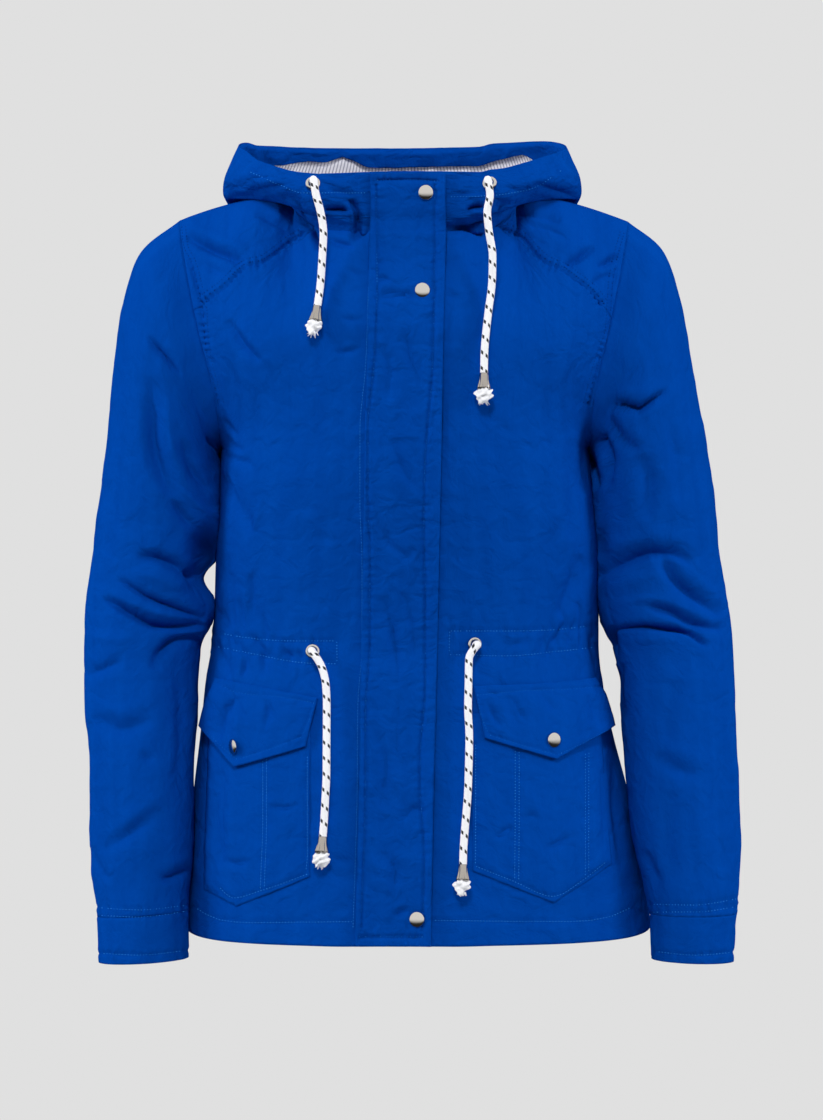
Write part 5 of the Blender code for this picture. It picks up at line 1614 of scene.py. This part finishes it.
# a lumpy knot with frayed yarn ends below it
def addKnot(name, top, down):
    random = np.random.RandomState(len(name) + ord(name[0]))
    turn = np.linspace(0, 2 * math.pi, 33)
    rise = np.linspace(0, math.pi, 25)[:, None]
    half = (6.8 * mm, 5.8 * mm, cordLook["knot"] * 0.42)
    ball = stack(np.sin(rise) * np.cos(turn), np.sin(rise) * np.sin(turn), np.cos(rise) + 0 * turn)
    lumps = 1 + 0.3 * hills(2.2 * ball[..., 0] + 9, 2.2 * ball[..., 1] + 3.1 * ball[..., 2] + 9, len(name))
    lumps += 0.12 * np.cos(9 * ball[..., 2] + 5 * ball[..., 0] + 2 * ball[..., 1])
    points = ball * np.array(half) * lumps[..., None]
    points[:, -1] = points[:, 0]
    basis = np.array(Vector(-down).to_track_quat("Z", "Y").to_matrix())
    middle = top + down * half[2]
    shape = bmesh.new()
    layer = shape.loops.layers.uv.new("cloth")
    for strand in range(15):
        spread = random.rand() * 2 * math.pi
        out = np.array([math.cos(spread), math.sin(spread), 0.0]) * (0.25 + 0.6 * random.rand())
        start = out * 3.6 * mm - np.array([0, 0, half[2] * 0.7])
        way = unit(out * random.rand() + np.array([0, 0, -1.0])) * (2.5 + 2.5 * random.rand()) * mm
        rings = []
        for share in (0.0, 0.5, 1.0):
            spot = start + way * share + out * 1.2 * mm * share**2
            thin = 0.65 * mm * (1 - 0.5 * share)
            ring = [spot + thin * np.array([math.cos(a), math.sin(a), 0]) for a in np.arange(5) * 0.4 * math.pi]
            rings.append([shape.verts.new(p @ basis.T + middle) for p in ring])
        for low, high in zip(rings, rings[1:]):
            for k in range(5):
                shape.faces.new((low[k], low[k - 1], high[k - 1], high[k]))
        shape.faces.new(rings[-1][::-1])
    for face in shape.faces:
        face.smooth = True
        for loop in face.loops:
            loop[layer].uv = (0.9, 0.004)
    uvs = (0 * lumps + 0.9, 0.004 + 0 * lumps)  # a spot of the braid without flecks
    piece = gridPiece(f"knot_{name}Fray", points @ basis.T + middle, braid, wall=None, tube=True, uvs=uvs)
    shape.from_mesh(piece.data)
    shape.to_mesh(piece.data)
    shape.free()
    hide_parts(f"knot_{name}")
    return piece


addCords()
print("cords ready")

stageLook = {
    "floor": -1.25,
    "paper": ((0.72, 0.72, 0.72, 1), (0.76, 0.76, 0.76, 1)),
    "backdrop": {"colour": (0.745, 0.745, 0.745, 1)},
    "fill": {"colour": (0.95, 0.97, 1, 1), "range": (-0.6, 0.9, 0.05, 0.5)},  # the room's brightness by height, for soft light
    "mirrored": {"colour": (1, 0.98, 0.96, 1), "range": (-0.32, 0.04, 0.02, 0.85)},  # and as the metal mirrors it
    "lights": [("leftBox", (-2.8, -0.6, 0.7), 1.0, 48), ("rightBox", (2.8, -0.6, 0.7), 1.0, 46),
        ("front", (-0.3, -3.0, 2.1), 0.7, 86)],
}


def addStage():
    mesh = bpy.data.meshes.new("floor")
    shape = bmesh.new()
    bmesh.ops.create_grid(shape, x_segments=1, y_segments=1, size=1.6)
    shape.to_mesh(mesh)
    shape.free()
    paper, _ = mottled("paper", 30, *stageLook["paper"], 0.9)
    mesh.materials.append(paper)
    floor = linked("floor", mesh)
    floor.location = (0, 0, stageLook["floor"])
    floor.visible_glossy = False


def addLight(name, place, aim, size, power):
    data = bpy.data.lights.new(name, "AREA")
    data.shape, data.size, data.energy = "DISK", size, power
    light = linked(name, data)
    light.location = place
    light.rotation_euler = (Vector(aim) - Vector(place)).to_track_quat("-Z", "Y").to_euler()
    light.visible_glossy = False


def addSurroundings():
    world = bpy.data.worlds.new("studio")
    bpy.context.scene.world = world
    world.use_nodes = True
    nodes, links = world.node_tree.nodes, world.node_tree.links
    nodes.clear()
    path, spread = nodes.new("ShaderNodeLightPath"), nodes.new("ShaderNodeTexCoord")
    height = nodes.new("ShaderNodeSeparateXYZ")
    links.new(spread.outputs["Generated"], height.inputs[0])
    shown = None
    for ray, name in ((None, "fill"), ("Is Glossy Ray", "mirrored"), ("Is Camera Ray", "backdrop")):
        look, room = stageLook[name], nodes.new("ShaderNodeBackground")
        room.inputs["Color"].default_value = look["colour"]
        if "range" in look:
            links.new(ranged(nodes, links, height.outputs["Z"], look["range"]), room.inputs["Strength"])
        if shown is None:
            shown = room.outputs[0]
            continue
        mix = nodes.new("ShaderNodeMixShader")
        links.new(path.outputs[ray], mix.inputs[0])
        links.new(shown, mix.inputs[1])
        links.new(room.outputs[0], mix.inputs[2])
        shown = mix.outputs[0]
    links.new(shown, nodes.new("ShaderNodeOutputWorld").inputs[0])
    for name, place, size, power in stageLook["lights"]:
        addLight(name, place, (0, 0, -0.3), size, power)
    camera = linked("camera", bpy.data.cameras.new("camera"))
    camera.location = shot["place"]
    camera.rotation_euler = (math.pi / 2, 0, 0)
    camera.data.lens = shot["lens"]
    camera.data.clip_start = 0.05
    bpy.context.scene.camera = camera
    bpy.context.scene.view_settings.view_transform = "Standard"
    bpy.context.scene.view_settings.look = "None"


addStage()
addSurroundings()
print("stage, light and camera ready")
